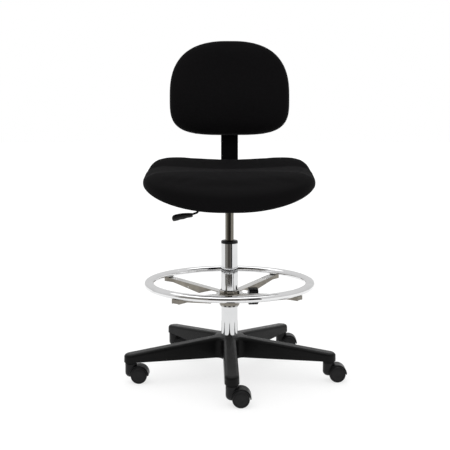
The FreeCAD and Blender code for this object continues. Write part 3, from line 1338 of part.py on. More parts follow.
def backrest():
    rear = "-back_gap"
    shell = new_body("back_shell")
    margin = "shell_margin"
    plan, depth = upright_box(shell, "shell_plan", f"back_board_half + {margin}",
                              f"-back_board_low - {margin}", f"back_board_high + {margin}",
                              f"{rear} - shell_thick", rear)
    grow(shell, "Pad", plan, depth)
    board = new_body("back_board_blank")
    plan, depth = upright_box(board, "board_plan", "back_board_half", "-back_board_low",
                              "back_board_high", f"{rear} - shell_thick - back_board_thick",
                              f"{rear} - shell_thick")
    grow(board, "Pad", plan, depth)
    for body, extra in ((shell, size("shell_margin")), (board, 0)):
        corners = ((-size("back_board_low") - extra, "back_board_foot_round"),
                   (size("back_board_high") + extra, "back_board_head_round"))
        for edge_at, radius in corners:
            soften(body, "Fillet", radius, near_corner("XZ_Plane", edge_at))
    soften(shell, "Fillet", "3", lambda edge: (
        edge.BoundBox.YLength < 0.1
        and abs(middle_of(edge).y + size("back_gap")) < 0.1))
    window, deep = upright_box(shell, "shell_window", "bracket_half_width + 3",
                               "-bracket_half_height - 3", "bracket_half_height + 3",
                               "-back_gap - shell_thick - 5", "5")
    grow(shell, "Pocket", window, deep, back=True)
    screws = []
    for side in (-1, 1):
        for end in (-1, 1):
            x, z = f"{side} * back_screw_x", f"{end} * back_screw_z"
            plate_face = "-back_gap - shell_thick + bracket_thick"
            shank = cylinder("screw_shank", "back_screw_radius",
                             "bracket_thick + back_board_thick - 1",
                             (x, plate_face, z), (1, 0, 0), "90")
            head = cylinder("screw_head", "2 * back_screw_radius", "back_screw_radius",
                            (x, f"{plate_face} + back_screw_radius", z), (1, 0, 0), "90")
            screws.append(fuse("back_screw", [shank, head]))
    bracket = new_body("bracket_blank")
    plan, depth = upright_box(bracket, "plate", "bracket_half_width", "-bracket_half_height",
                              "bracket_half_height", f"{rear} - shell_thick",
                              f"{rear} - shell_thick + bracket_thick")
    grow(bracket, "Pad", plan, depth)
    soften(bracket, "Fillet", "6", lambda edge: edge.BoundBox.YLength > 1)
    for side in ("-", ""):
        lug = new_sketch(bracket, "lug", "YZ_Plane", f"{side}(lug_inner + lug_outer) / 2")
        draw_polygon(lug, [
            ("-back_gap - shell_thick + 1", "-lug_radius - 4"),
            ("-back_gap - shell_thick + 1", "lug_radius + 4"),
            ("-pivot_fore", "lug_radius"),
            ("-pivot_fore + lug_radius * 0.7071", "lug_radius * 0.7071"),
            ("-pivot_fore + lug_radius", "0"),
            ("-pivot_fore + lug_radius * 0.7071", "-lug_radius * 0.7071"),
            ("-pivot_fore", "-lug_radius"),
        ])
        grow(bracket, "Pad", lug, "lug_outer - lug_inner", middle=True)
    pin_hole = draw_circle(new_sketch(bracket, "pin_hole", "YZ_Plane"), "-pivot_fore", "0",
                           "pivot_radius")
    grow(bracket, "Pocket", pin_hole, "60", middle=True)
    pin = cylinder("pivot_pin_blank", "pivot_radius", "2 * ear_outer + 2",
                   ("-ear_outer - 1", "-pivot_fore", "0"), (0, 1, 0), "90")
    doc.recompute()
    pad = solid_feature("back_pad_raw", Part.makeLoft(list(back_curve()), True, False))
    room, deep = upright_box(board_room := new_body("board_room"), "room_plan",
                             "back_board_half", "-back_board_low", "back_board_high",
                             f"{rear} - shell_thick - back_board_thick", "40")
    grow(board_room, "Pad", room, deep)
    soften(board_room, "Fillet", "back_board_foot_round",
           near_corner("XZ_Plane", -size("back_board_low")))
    soften(board_room, "Fillet", "back_board_head_round",
           near_corner("XZ_Plane", size("back_board_high")))
    screw_set = group("back_screw_set", screws)
    finished = [
        ("back_cushion", cut("back_cushion", pad, board_room)),
        ("back_board", cut("back_board", board, screw_set)),
        ("back_bracket", cut("back_bracket", bracket, screw_set)),
        ("back_screws", screw_set),
        ("back_shell", shell),
        ("pivot_pin", pin),
    ]
    for name, item in finished:
        node(name, lean(wrapped(name, item)))


def wrapped(name, item):
    """A one-piece group round an object that already uses its own placement."""
    return group(f"{name}_set", [item])


MAKERS = [base_star, hub_ring, caster_stems, casters, column_tube, guide_bushing, bearing,
          gas_spring, foot_ring, ring_spider, ring_sleeve, ring_knob, seat, mechanism, lever,
          back_bar, depth_knob, carriage, height_knob, backrest]
for make in MAKERS:
    make()
doc.recompute()


def check_document():
    """Stop unless every object recomputed and every sub-part is a valid solid."""
    problems = []
    for item in doc.Objects:
        if "Invalid" in item.State or "Error" in item.State:
            problems.append(f"{item.Label} ({item.Name}): {item.State}")
    for name, item in NODES:
        shape = item.Shape
        if shape.isNull() or not shape.isValid() or not shape.Solids:
            problems.append(f"{name}: bad shape")
    if problems:
        raise RuntimeError("; ".join(problems))


check_document()
for name, item in NODES:
    item.Shape.exportStep(f"parts/{name}.step")
    print(f"{name}: {len(item.Shape.Solids)} solid(s), {item.Shape.Volume / 1000:.2f} cm3")
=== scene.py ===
import json
import math

import bmesh
import bpy
from mathutils import Matrix, Vector
from mathutils.bvhtree import BVHTree


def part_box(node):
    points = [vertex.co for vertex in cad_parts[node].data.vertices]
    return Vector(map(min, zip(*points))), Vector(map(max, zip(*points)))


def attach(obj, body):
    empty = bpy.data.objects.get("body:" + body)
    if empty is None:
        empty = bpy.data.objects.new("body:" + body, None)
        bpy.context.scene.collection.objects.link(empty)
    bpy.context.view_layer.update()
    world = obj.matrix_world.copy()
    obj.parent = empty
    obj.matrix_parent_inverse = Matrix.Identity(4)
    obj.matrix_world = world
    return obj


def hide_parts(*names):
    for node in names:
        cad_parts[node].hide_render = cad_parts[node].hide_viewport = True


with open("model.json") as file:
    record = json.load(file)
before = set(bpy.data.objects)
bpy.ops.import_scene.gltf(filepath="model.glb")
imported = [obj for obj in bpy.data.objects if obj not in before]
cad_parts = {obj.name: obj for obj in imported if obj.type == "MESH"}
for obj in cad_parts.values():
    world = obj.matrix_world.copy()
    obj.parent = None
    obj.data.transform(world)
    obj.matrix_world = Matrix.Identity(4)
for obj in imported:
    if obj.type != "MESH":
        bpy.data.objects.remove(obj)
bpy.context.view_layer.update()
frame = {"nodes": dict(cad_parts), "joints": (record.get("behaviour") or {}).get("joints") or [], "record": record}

MM = 0.001
NODES = frame["nodes"]
SCENE = bpy.context.scene
COLLECTION = SCENE.collection
SLOT_OF = {row["node"]: row["material_slot"] for row in frame["record"]["subparts"]}
BODY_OF = {node: body for body, members in frame["record"]["behaviour"]["bodies"].items()
           for node in members}


# ---- node materials ----------------------------------------------------------------


class Finish:
    """A procedural material. Plain values go on the shader's own sockets."""

    def __init__(self, name, color, rough, **sockets):
        self.material = bpy.data.materials.new(name)
        self.material.use_nodes = True
        self.material.diffuse_color = (*color, 1)
        self.tree = self.material.node_tree
        self.shader = self.tree.nodes["Principled BSDF"]
        self.shader.inputs["Base Color"].default_value = (*color, 1)
        self.shader.inputs["Roughness"].default_value = rough
        for socket, value in sockets.items():
            self.shader.inputs[socket.replace("_", " ")].default_value = value
        self.color = color
        self.where = self.add("ShaderNodeTexCoord").outputs["Object"]
        self.heights = []

    def add(self, kind, inputs=None, **settings):
        node = self.tree.nodes.new(kind)
        for key, value in settings.items():
            setattr(node, key, value)
        for key, value in (inputs or {}).items():
            if isinstance(value, bpy.types.NodeSocket):
                self.tree.links.new(value, node.inputs[key])
            else:
                node.inputs[key].default_value = value
        return node

    def math(self, operation, first, second=0.0, third=None):
        inputs = {0: first, 1: second}
        if third is not None:
            inputs[2] = third
        return self.add("ShaderNodeMath", inputs, operation=operation).outputs[0]

    def stretched(self, scale):
        """The object's own coordinates, scaled by a different amount along each axis."""
        return self.add("ShaderNodeMapping", {"Vector": self.where, "Scale": scale}).outputs[0]

    def noise(self, scale, detail=3.0, rough=0.5, where=None, warp=0.0):
        node = self.add("ShaderNodeTexNoise", {
            "Vector": where or self.where, "Scale": scale, "Detail": detail,
            "Roughness": rough, "Distortion": warp})
        return node.outputs["Fac"]

    def cells(self, scale):
        node = self.add("ShaderNodeTexVoronoi", {"Vector": self.where, "Scale": scale},
                        feature="F1")
        return node.outputs["Distance"]

    def facing(self):
        """The surface's direction on the object, split into its three axes."""
        return self.add("ShaderNodeSeparateXYZ", {
            0: self.add("ShaderNodeTexCoord").outputs["Normal"]})

    def spread(self, value, low, high, new_low=0.0, new_high=1.0):
        node = self.add("ShaderNodeMapRange", {
            "Value": value, "From Min": low, "From Max": high,
            "To Min": new_low, "To Max": new_high})
        return node.outputs["Result"]

    def mix(self, amount, first, second):
        node = self.add("ShaderNodeMix", data_type="RGBA")
        for key, value in ((0, amount), (6, first), (7, second)):
            if isinstance(value, bpy.types.NodeSocket):
                self.tree.links.new(value, node.inputs[key])
            else:
                node.inputs[key].default_value = value
        return node.outputs[2]

    def shaded(self, factor):
        """The plain colour, made lighter or darker."""
        return (*[min(channel * factor, 1) for channel in self.color], 1)

    def set_color(self, value):
        self.tree.links.new(value, self.shader.inputs["Base Color"])

    def set_rough(self, value):
        self.tree.links.new(value, self.shader.inputs["Roughness"])

    def bump(self, height, strength, distance):
        """Add one more layer of bump on top of those already there."""
        node = self.add("ShaderNodeBump", {
            "Height": height, "Strength": strength, "Distance": distance})
        if self.heights:
            self.tree.links.new(self.heights[-1].outputs[0], node.inputs["Normal"])
        self.heights.append(node)
        self.tree.links.new(node.outputs[0], self.shader.inputs["Normal"])


def woven_fabric(name, color, pitch):
    """Plain weave, laid square on whichever way a face looks, with slubs and pilling."""
    it = Finish(name, color, 0.93, Specular_IOR_Level=0.06, Sheen_Weight=0.012,
                Sheen_Roughness=0.45)
    it.shader.inputs["Sheen Tint"].default_value = (0.75, 0.76, 0.8, 1)
    split = it.add("ShaderNodeSeparateXYZ", {
        0: it.add("ShaderNodeVectorMath", {
            0: it.where, 1: (1 / pitch,) * 3}, operation="MULTIPLY").outputs[0]})
    normal = it.facing()

    def thread(across, along):
        """Height of one set of threads: it dips under every other crossing thread."""
        turn = it.math("MULTIPLY", across, math.pi)
        ridge = it.math("ABSOLUTE", it.math("SINE", turn))
        phase = it.math("MULTIPLY", it.math("FLOOR", across), math.pi)
        wave = it.math("SINE", it.math("ADD", it.math("MULTIPLY", along, math.pi), phase))
        return it.math("MULTIPLY", ridge, it.math("MULTIPLY_ADD", wave, 0.5, 0.5))

    total = None
    for axis in range(3):
        one, other = split.outputs[(axis + 1) % 3], split.outputs[(axis + 2) % 3]
        weave = it.math("MAXIMUM", thread(one, other), thread(other, it.math("ADD", one, 1.0)))
        facing = it.math("POWER", it.math("ABSOLUTE", normal.outputs[axis]), 6.0)
        part = it.math("MULTIPLY", weave, facing)
        total = part if total is None else it.math("ADD", total, part)
    slub = it.noise(90, 4, 0.6, warp=0.4)
    cloud = it.noise(9, 3)
    fuzz = it.noise(1400, 2)
    tone = it.math("ADD", it.math("MULTIPLY", total, 0.55), it.math("MULTIPLY", slub, 0.45))
    dark_to_light = it.mix(it.spread(tone, 0.15, 0.8), it.shaded(0.62), it.shaded(1.35))
    rubbed = it.mix(it.spread(cloud, 0.35, 0.7), dark_to_light, it.shaded(1.25))
    shown = it.add("ShaderNodeMix", data_type="RGBA")
    shown.inputs[0].default_value = 0.3
    it.tree.links.new(dark_to_light, shown.inputs[6])
    it.tree.links.new(rubbed, shown.inputs[7])
    it.set_color(shown.outputs[2])
    it.set_rough(it.spread(slub, 0.2, 0.8, 0.88, 0.98))
    it.bump(it.noise(14, 2), 0.25, 0.0012)
    it.bump(total, 0.75, 0.00028)
    it.bump(fuzz, 0.3, 0.00012)
    return it.material


def moulded(name, color, rough, grain, depth, gloss=0.22, dust_and_top_light=1.0):
    """Moulded plastic with a spark-eroded grain, faint flow marks and fingerprints.

    Its upward faces are painted lighter, a painted highlight for light from above; the last argument tells how
    much lighter.
    """
    it = Finish(name, color, rough, Specular_IOR_Level=gloss)
    flow = it.noise(7, 3, warp=0.6)
    smear = it.noise(38, 4)
    pits = it.cells(grain)
    tone = it.mix(it.spread(flow, 0.3, 0.7), it.shaded(0.82), it.shaded(1.22))
    upward = it.facing().outputs[2]
    # Painted highlight: faces that look upward take a lighter copy of the colour.
    painted_top_light = it.spread(upward, 0.55, 0.95)
    it.set_color(it.mix(painted_top_light, tone, it.shaded(dust_and_top_light)))
    it.set_rough(it.spread(smear, 0.3, 0.7, rough - 0.05, rough + 0.07))
    it.bump(it.noise(4.5, 2), 0.1, 0.002)
    it.bump(pits, 0.5, depth)
    return it.material


def polished_chrome(name, color):
    it = Finish(name, color, 0.05, Metallic=1.0)
    smear = it.noise(22, 4)
    hair = it.noise(900, 2, where=it.stretched((1, 1, 0.02)))
    it.set_color(it.mix(it.spread(smear, 0.3, 0.7), it.shaded(0.95), it.shaded(1.03)))
    it.set_rough(it.spread(smear, 0.3, 0.75, 0.03, 0.085))
    it.bump(hair, 0.02, 0.0001)
    return it.material


def drawn_metal(name, color, rough, along=(1, 1, 0.03), strength=0.12):
    """Metal with fine marks along one axis, as left by turning, drawing or brushing."""
    it = Finish(name, color, rough, Metallic=1.0)
    marks = it.noise(700, 3, where=it.stretched(along))
    cloud = it.noise(18, 3)
    it.set_color(it.mix(it.spread(marks, 0.3, 0.7), it.shaded(0.8), it.shaded(1.12)))
    it.set_rough(it.math("ADD", it.spread(cloud, 0.3, 0.7, rough - 0.04, rough + 0.04),
                         it.spread(marks, 0.3, 0.7, -0.03, 0.04)))
    it.bump(marks, strength, 0.0001)
    return it.material


def coated_steel(name, color, rough, gloss):
    """Smooth coat with a slight orange peel."""
    it = Finish(name, color, rough, Specular_IOR_Level=gloss)
    peel = it.noise(320, 2)
    cloud = it.noise(11, 3)
    tone = it.mix(it.spread(cloud, 0.3, 0.7), it.shaded(0.96), it.shaded(1.04))
    it.set_color(tone)
    it.set_rough(it.spread(it.noise(45, 4), 0.3, 0.7, rough - 0.02, rough + 0.03))
    it.bump(peel, 0.12, 0.0004)
    return it.material


def plated(name, color, rough, side_shade):
    """Plated sheet steel, bright on its level faces, with painted shade on its walls: they take a duller, darker
    colour.
    """
    it = Finish(name, color, rough, Metallic=1.0)
    upward = it.facing().outputs[2]
    smear = it.noise(26, 4)
    # Painted shade: faces that look sideways take the darker wall colour, streaked at random.
    level_faces = it.spread(it.math("ABSOLUTE", upward), 0.25, 0.8)
    tone = it.mix(it.spread(smear, 0.3, 0.7), it.shaded(0.92), it.shaded(1.05))
    streak = it.spread(it.noise(30, 2), 0.3, 0.7)
    shaded_side = it.mix(streak, (*[channel * 0.75 for channel in side_shade], 1),
                  (*[channel * 1.3 for channel in side_shade], 1))
    it.set_color(it.mix(level_faces, shaded_side, tone))
    it.set_rough(it.spread(smear, 0.3, 0.7, rough - 0.03, rough + 0.05))
    it.bump(it.noise(240, 3), 0.05, 0.0002)
    return it.material


def soft_rubber(name, color):
    it = Finish(name, color, 0.72, Specular_IOR_Level=0.35)
    # Here only dust: lighter patches at random.
    dust_and_top_light = it.noise(55, 5)
    it.set_color(it.mix(it.spread(dust_and_top_light, 0.4, 0.75), it.shaded(0.9), it.shaded(1.9)))
    it.set_rough(it.spread(dust_and_top_light, 0.3, 0.7, 0.62, 0.8))
    it.bump(it.noise(650, 3), 0.25, 0.0003)
    return it.material


def spunbond(name, color):
    """Thin non-woven lining with its grid of small welded dots."""
    it = Finish(name, color, 0.9, Specular_IOR_Level=0.12)
    fibre = it.noise(700, 4, warp=1.2)
    welds = it.cells(420)
    it.set_color(it.mix(it.spread(fibre, 0.3, 0.7), it.shaded(0.7), it.shaded(1.4)))
    it.set_rough(it.spread(welds, 0.0, 0.6, 0.7, 0.95))
    it.bump(welds, 0.35, 0.0003)
    return it.material


def plywood(name, color):
    it = Finish(name, color, 0.62, Specular_IOR_Level=0.3)
    bands = it.add("ShaderNodeTexWave", {
        "Vector": it.stretched((1, 1, 12)), "Scale": 9, "Distortion": 7,
        "Detail": 3, "Detail Scale": 1.6}, bands_direction="X").outputs["Fac"]
    pores = it.noise(420, 3, where=it.stretched((1, 0.06, 1)))
    grain = it.mix(it.spread(bands, 0.2, 0.8), it.shaded(0.72), it.shaded(1.1))
    it.set_color(it.mix(it.spread(pores, 0.62, 0.75), grain, it.shaded(0.5)))
    it.set_rough(it.spread(bands, 0, 1, 0.55, 0.72))
    it.bump(pores, 0.3, 0.0003)
    return it.material


FABRIC = woven_fabric("charcoal_weave", (0.0041, 0.0038, 0.0042), 0.0016)
CHROME = polished_chrome("polished_chrome", (0.68, 0.685, 0.69))
# Painted light: the foot ring gets a lighter copy of the chrome, for the brighter light it shows.
LIT_RING_CHROME = polished_chrome("ring_chrome_painted_lighter", (0.79, 0.79, 0.795))
# Nylon and wheel nylon get their upward faces painted lighter, a painted highlight from above.
NYLON = moulded("grained_nylon", (0.0052, 0.0052, 0.0053), 0.31, 1100, 0.0002,
                gloss=0.1, dust_and_top_light=3.4)
SATIN = moulded("satin_plastic", (0.0035, 0.0035, 0.004), 0.34, 1700, 0.0002)
TREAD = moulded("wheel_nylon", (0.0072, 0.0072, 0.0076), 0.36, 900, 0.0003,
                gloss=0.2, dust_and_top_light=1.4)
GRIP = moulded("soft_grip", (0.0036, 0.0036, 0.004), 0.3, 1500, 0.0002, gloss=0.5)
SHELL = moulded("textured_shell", (0.007, 0.007, 0.0078), 0.55, 620, 0.0006)
STEEL = drawn_metal("bright_steel", (0.6, 0.6, 0.61), 0.28)
TURNED = drawn_metal("ground_rod", (0.66, 0.66, 0.67), 0.14, along=(0.05, 0.05, 1))
GAS = drawn_metal("burnished_cylinder", (0.175, 0.165, 0.14), 0.07, strength=0.03)
# The last colour is the painted shade of the plated steel's walls.
SILVER = plated("plated_steel", (0.66, 0.655, 0.64), 0.15, (0.20, 0.185, 0.16))
BLACK = coated_steel("black_coat", (0.0018, 0.0018, 0.0024), 0.5, gloss=0.07)
RUBBER = soft_rubber("soft_rubber", (0.016, 0.016, 0.016))
PLY = plywood("bare_plywood", (0.50, 0.35, 0.20))
LINING = spunbond("board_lining", (0.0042, 0.0042, 0.0045))

BY_SLOT = {
    "base_nylon": NYLON, "wheel_nylon": TREAD, "black_plastic": SATIN, "chrome": CHROME,
    "steel": STEEL, "black_steel": BLACK, "silver_steel": SILVER, "rubber": RUBBER,
    "fabric": FABRIC, "plywood": PLY,
}
BY_NODE = {
    "foot_ring": LIT_RING_CHROME, "gas_cylinder": GAS, "piston_rod": TURNED,
    "back_shell": SHELL, "underside_cover": SHELL,
    "seat_board": LINING, "back_board": LINING,
}


def dress_cad_nodes():
    """Give every CAD node its material."""
    for name, item in NODES.items():
        item.data.materials.clear()
        item.data.materials.append(BY_NODE.get(name, BY_SLOT[SLOT_OF[name]]))


# ---- small modelling helpers --------------------------------------------------------


def as_object(name, mesh, material, body, slot=None):
    piece = bpy.data.objects.new(name, mesh)
    COLLECTION.objects.link(piece)
    mesh.materials.clear()
    mesh.materials.append(material)
    for face in mesh.polygons:
        face.use_smooth = True
    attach(piece, body)
    return piece


def lofted(name, rings):
    """A closed skin through rings of the same number of points."""
    mesh = bpy.data.meshes.new(name)
    build = bmesh.new()
    rows = [[build.verts.new(point) for point in ring] for ring in rings]
    count = len(rows[0])
    for low, high in zip(rows, rows[1:]):
        for place in range(count):
            after = (place + 1) % count
            build.faces.new((low[place], low[after], high[after], high[place]))
    for row in (rows[0], rows[-1]):
        middle = sum((vert.co for vert in row), Vector()) / count
        hub = build.verts.new(middle)
        for place in range(count):
            build.faces.new((row[place], row[(place + 1) % count], hub))
    bmesh.ops.recalc_face_normals(build, faces=build.faces)
    build.to_mesh(mesh)
    build.free()
    return mesh


def bowed(turn, power):
    """Point of a superellipse of unit size at one angle."""
    across = math.copysign(abs(math.cos(turn)) ** (2 / power), math.cos(turn))
    up = math.copysign(abs(math.sin(turn)) ** (2 / power), math.sin(turn))
    return across, up


END_SHARE = 0.997


def spaced(rows):
    """Places from just over -1 to just under 1, close together at both ends."""
    for number in range(rows):
        yield -math.cos(math.pi * number / (rows - 1)) * END_SHARE


def dome(part, power):
    return (1 - min(abs(part), 1) ** power) ** (1 / power)


# ---- cushions -----------------------------------------------------------------------

VOXEL = 0.005
PRESSURE = 4.0
STEPS = 20
SPREAD = 12


def modified_copy(piece):
    graph = bpy.context.evaluated_depsgraph_get()
    return bpy.data.meshes.new_from_object(piece.evaluated_get(graph))


def voxel_skin(name, mesh):
    """The closed mesh as an even quad skin."""
    holder = bpy.data.objects.new(name, mesh)
    COLLECTION.objects.link(holder)
    remesh = holder.modifiers.new("even", "REMESH")
    remesh.mode = "VOXEL"
    remesh.voxel_size = VOXEL
    bpy.context.view_layer.update()
    skin = modified_copy(holder)
    bpy.data.objects.remove(holder)
    return skin


def puffed(name, mesh, held, cap):
    """Blow the skin up as cloth and measure how far it swells at each vertex.

    held(point) is True where the skin rests on something.
    """
    holder = bpy.data.objects.new(name, mesh)
    COLLECTION.objects.link(holder)
    start = [vert.co.copy() for vert in mesh.vertices]
    outward = [vert.normal.copy() for vert in mesh.vertices]
    pins = holder.vertex_groups.new(name="held")
    pins.add([place for place, point in enumerate(start) if held(point)], 1.0, "REPLACE")
    cloth = holder.modifiers.new("puff", "CLOTH")
    cloth.settings.vertex_group_mass = "held"
    cloth.settings.use_pressure = True
    cloth.settings.uniform_pressure_force = PRESSURE
    cloth.settings.effector_weights.gravity = 0
    cloth.settings.quality = 5
    cloth.settings.tension_stiffness = 25
    cloth.settings.compression_stiffness = 25
    cloth.settings.bending_stiffness = 6
    cloth.collision_settings.use_collision = False
    for step in range(1, STEPS + 1):
        SCENE.frame_set(step)
    bpy.context.view_layer.update()
    blown = modified_copy(holder)
    SCENE.frame_set(1)
    bpy.data.objects.remove(holder)
    swell = [min(max((vert.co - before).dot(normal), 0), cap)
             for vert, before, normal in zip(blown.vertices, start, outward)]
    for _ in range(SPREAD):
        swell = spread_out(blown, swell)
    return swell


def spread_out(mesh, values):
    """Each vertex takes the mean of itself and its neighbours."""
    total = list(values)
    count = [1] * len(values)
    for edge in mesh.edges:
        a, b = edge.vertices
        total[a] += values[b]
        total[b] += values[a]
        count[a] += 1
        count[b] += 1
    return [whole / number for whole, number in zip(total, count)]


def let_out(mesh, drawn, swell):
    """Bring a smoothed skin back to the drawn surface, plus how far it swells there."""
    outward = [vert.normal.copy() for vert in mesh.vertices]
    missing = []
    for vert, normal in zip(mesh.vertices, outward):
        nearest = drawn.find_nearest(vert.co)[0]
        missing.append((nearest - vert.co).dot(normal))
    for _ in range(3):
        missing = spread_out(mesh, missing)
    for vert, normal, short, rise in zip(mesh.vertices, outward, missing, swell):
        vert.co += normal * (short + rise)
    return mesh


def relaxed(mesh, rounds):
    """Even out the steps between voxels."""
    build = bmesh.new()
    build.from_mesh(mesh)
    for _ in range(rounds):
        bmesh.ops.smooth_vert(build, verts=build.verts, factor=0.5,
                              use_axis_x=True, use_axis_y=True, use_axis_z=True)
    build.to_mesh(mesh)
    build.free()
    return mesh


def cushion(name, rings, held, cap, body, stands_for):
    """A padded piece made from its sections, smoothed and blown up."""
    drawn = lofted(name, rings)
    surface = BVHTree.FromPolygons([vert.co.copy() for vert in drawn.vertices],
                                   [tuple(face.vertices) for face in drawn.polygons])
    skin = relaxed(voxel_skin(name, drawn), 4)
    swell = [cap / 2] * len(skin.vertices)
    swell = puffed(name, skin.copy(), held, cap)
    skin = let_out(skin, surface, swell)
    piece = as_object(name, skin, FABRIC, body, "fabric")
    smooth = piece.modifiers.new("finer", "SUBSURF")
    smooth.levels = 1
    smooth.render_levels = 1
    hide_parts(*stands_for)
    return piece


PAD_ROWS = 150
PAD_CAP = 0.006

# Metres, and the powers of the curves that round the pad off.
SEAT = {
    "half_width": 0.2562, "front": 0.2222, "rear": 0.192, "middle": 0.574,
    "front_drop": 0.0415, "rear_rise": 0.046, "side_rise": 0.035, "half_thick": 0.0372,
    "roll_start": 0.050, "ramp_start": 0.078, "aside": 0.0008,
    "plan_rear": 3.6, "plan_front": 2.1, "ends": 3.8, "top": 3.3, "underside": 3.1,
    "roll_power": 1.15, "ramp_power": 1.1, "flat_share": 0.18,
    "rise_start": -0.040, "rise_length": 0.190,
}
RING_POINTS = 240


def seat_rings():
    """Sections across the seat pad, from front to rear."""
    for part in spaced(PAD_ROWS):
        y = part * (SEAT["rear"] if part > 0 else SEAT["front"])
        half = SEAT["half_width"] * dome(
            part, SEAT["plan_rear"] if part > 0 else SEAT["plan_front"])
        thick = SEAT["half_thick"] * dome(part, SEAT["ends"])
        roll = max(-y - SEAT["roll_start"], 0) / (SEAT["front"] - SEAT["roll_start"])
        ramp = max(y - SEAT["ramp_start"], 0) / (SEAT["rear"] - SEAT["ramp_start"])
        middle = (SEAT["middle"] - SEAT["front_drop"] * roll ** SEAT["roll_power"]
                  + SEAT["rear_rise"] * ramp ** SEAT["ramp_power"])
        share = min(max((y - SEAT["rise_start"]) / SEAT["rise_length"], 0), 1)
        eased = share * share * (3 - 2 * share)
        rise = SEAT["side_rise"] * (SEAT["flat_share"] + (1 - SEAT["flat_share"]) * eased)
        ring = []
        for step in range(RING_POINTS):
            turn = 2 * math.pi * step / RING_POINTS
            across, up = bowed(turn, SEAT["top"] if turn < math.pi else SEAT["underside"])
            x = half * across
            lift = rise * (x / SEAT["half_width"]) ** 2
            ring.append(Vector((x - SEAT["aside"], y, middle + lift + thick * up)))
        yield ring


def seat_pad():
    low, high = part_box("seat_board")
    rest = high.z

    def held(point):
        inside = abs(point.x) < high.x - 0.01 and low.y < point.y < high.y
        return inside and point.z < rest

    return cushion("seat_pad", list(seat_rings()), held, PAD_CAP, "seat", ["seat_cushion"])


BACK = {
    "half_width": 0.1908, "waist": 0.0405, "low": 0.0808, "high": 0.2178, "half_thick": 0.025,
    "wrap": 0.012, "bulge": 0.008, "bulge_drop": 0.020, "bulge_reach": 0.070,
    "gap": 0.016, "shell": 0.005, "above": 2.58, "below": 3.7, "section": 2.8, "ends": 4,
    "rear_ends": 8, "pivot_fore": 0.0115,
    "board_half": 0.16, "board_low": -0.06, "board_high": 0.185, "board_depth": 0.004,
}


def joint_named(name):
    return next(joint for joint in frame["joints"] if joint["name"] == name)


def leaning_frame():
    """From the backrest's own frame (x across, y to the rear, z up) to the row's."""
    pivot = Vector(joint_named("back_tilt")["pos_m"])
    along = Vector(joint_named("back_height")["axis"])
    lean = math.atan2(along.y, along.z)
    turn = Matrix.Rotation(-lean, 4, "X")
    return Matrix.Translation(pivot) @ turn @ Matrix.Translation((0, BACK["pivot_fore"], 0))


def back_rings():
    rear = BACK["half_thick"] / 2
    middle = -BACK["gap"] - BACK["shell"] - rear
    for part in spaced(PAD_ROWS):
        above = part > 0
        end = BACK["high"] - BACK["waist"] if above else BACK["low"] + BACK["waist"]
        height = part * end
        half = BACK["half_width"] * dome(part, BACK["above"] if above else BACK["below"])
        bulge = BACK["bulge"] * math.exp(
            -((height + BACK["bulge_drop"]) / BACK["bulge_reach"]) ** 2)
        front = (1.5 * BACK["half_thick"] + bulge) * dome(part, BACK["ends"])
        ring = []
        for step in range(RING_POINTS):
            across, fore = bowed(2 * math.pi * step / RING_POINTS, BACK["section"])
            x = half * across
            wrap = BACK["wrap"] * (x / BACK["half_width"]) ** 2
            deep = rear * dome(part, BACK["rear_ends"]) if fore > 0 else front + wrap
            ring.append(Vector((x, middle + deep * fore, height + BACK["waist"])))
        yield ring


def back_pad():
    lean = leaning_frame()
    back = lean.inverted()
    rest = -BACK["gap"] - BACK["shell"] - BACK["board_depth"]

    def held(point):
        own = back @ point
        beside = abs(own.x) < BACK["board_half"]
        return own.y > rest and beside and BACK["board_low"] < own.z < BACK["board_high"]

    rings = [[lean @ point for point in ring] for ring in back_rings()]
    return cushion("back_pad", rings, held, PAD_CAP, "backrest", ["back_cushion"])


# ---- lever grip and caster wheels ---------------------------------------------------

# Reach from the grip's inner end, then the height of its upper and lower lines over
# the top of the grip.
GRIP_LINES = [
    (0.0, -0.6, -10.4), (3.0, 1.0, -11.8), (16.0, 1.2, -15.0), (30.0, 0.6, -18.6),
    (43.0, -1.4, -21.6), (53.0, -3.6, -23.6), (59.0, -6.0, -23.9), (62.5, -11.0, -18.0),
]
GRIP_HALF = 10.0
GRIP_ROWS = 132
GRIP_POINTS = 72
RIDGES = {"first": 17.0, "last": 52.0, "pitch": 6.4, "depth": 0.75}
# Finger hollows along the lower line: where, how deep. All have the same reach.
HOLLOWS = [(17.0, 1.1), (37.0, 1.1)]
HOLLOW_REACH = 6.5


def line_at(stations, reach, column):
    """Height of a drawn line at one reach, straight between its stations."""
    for one, other in zip(stations, stations[1:]):
        if reach <= other[0]:
            share = (reach - one[0]) / (other[0] - one[0])
            return one[column] + (other[column] - one[column]) * share
    return stations[-1][column]


def grip_rings(inner, top):
    length = GRIP_LINES[-1][0]
    for number in range(GRIP_ROWS):
        reach = length * (0.5 - 0.5 * math.cos(math.pi * number / (GRIP_ROWS - 1)))
        high = line_at(GRIP_LINES, reach, 1)
        low = line_at(GRIP_LINES, reach, 2)
        low += sum(deep * math.exp(-((reach - place) / HOLLOW_REACH) ** 2)
                   for place, deep in HOLLOWS)
        half = GRIP_HALF * (0.72 + 0.28 * min(reach / 30, 1)) * dome(2 * reach / length - 1, 7)
        inside = RIDGES["first"] < reach < RIDGES["last"]
        wave = math.sin(math.pi * (reach - RIDGES["first"]) / RIDGES["pitch"]) ** 2
        groove = RIDGES["depth"] * wave if inside else 0
        ring = []
        for step in range(GRIP_POINTS):
            across, up = bowed(2 * math.pi * step / GRIP_POINTS, 3.0)
            side = abs(across) ** 3
            y = (half - groove * side) * across
            z = (high + low) / 2 + (high - low) / 2 * up
            ring.append(Vector((inner - reach * MM, y * MM, top + z * MM)))
        yield ring


def lever_grip():
    low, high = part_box("lever_grip")
    mesh = relaxed(lofted("grip", grip_rings(high.x + 0.003, high.z)), 1)
    piece = as_object("finger_grip", mesh, GRIP, "lever", SLOT_OF["lever_grip"])
    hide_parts("lever_grip")


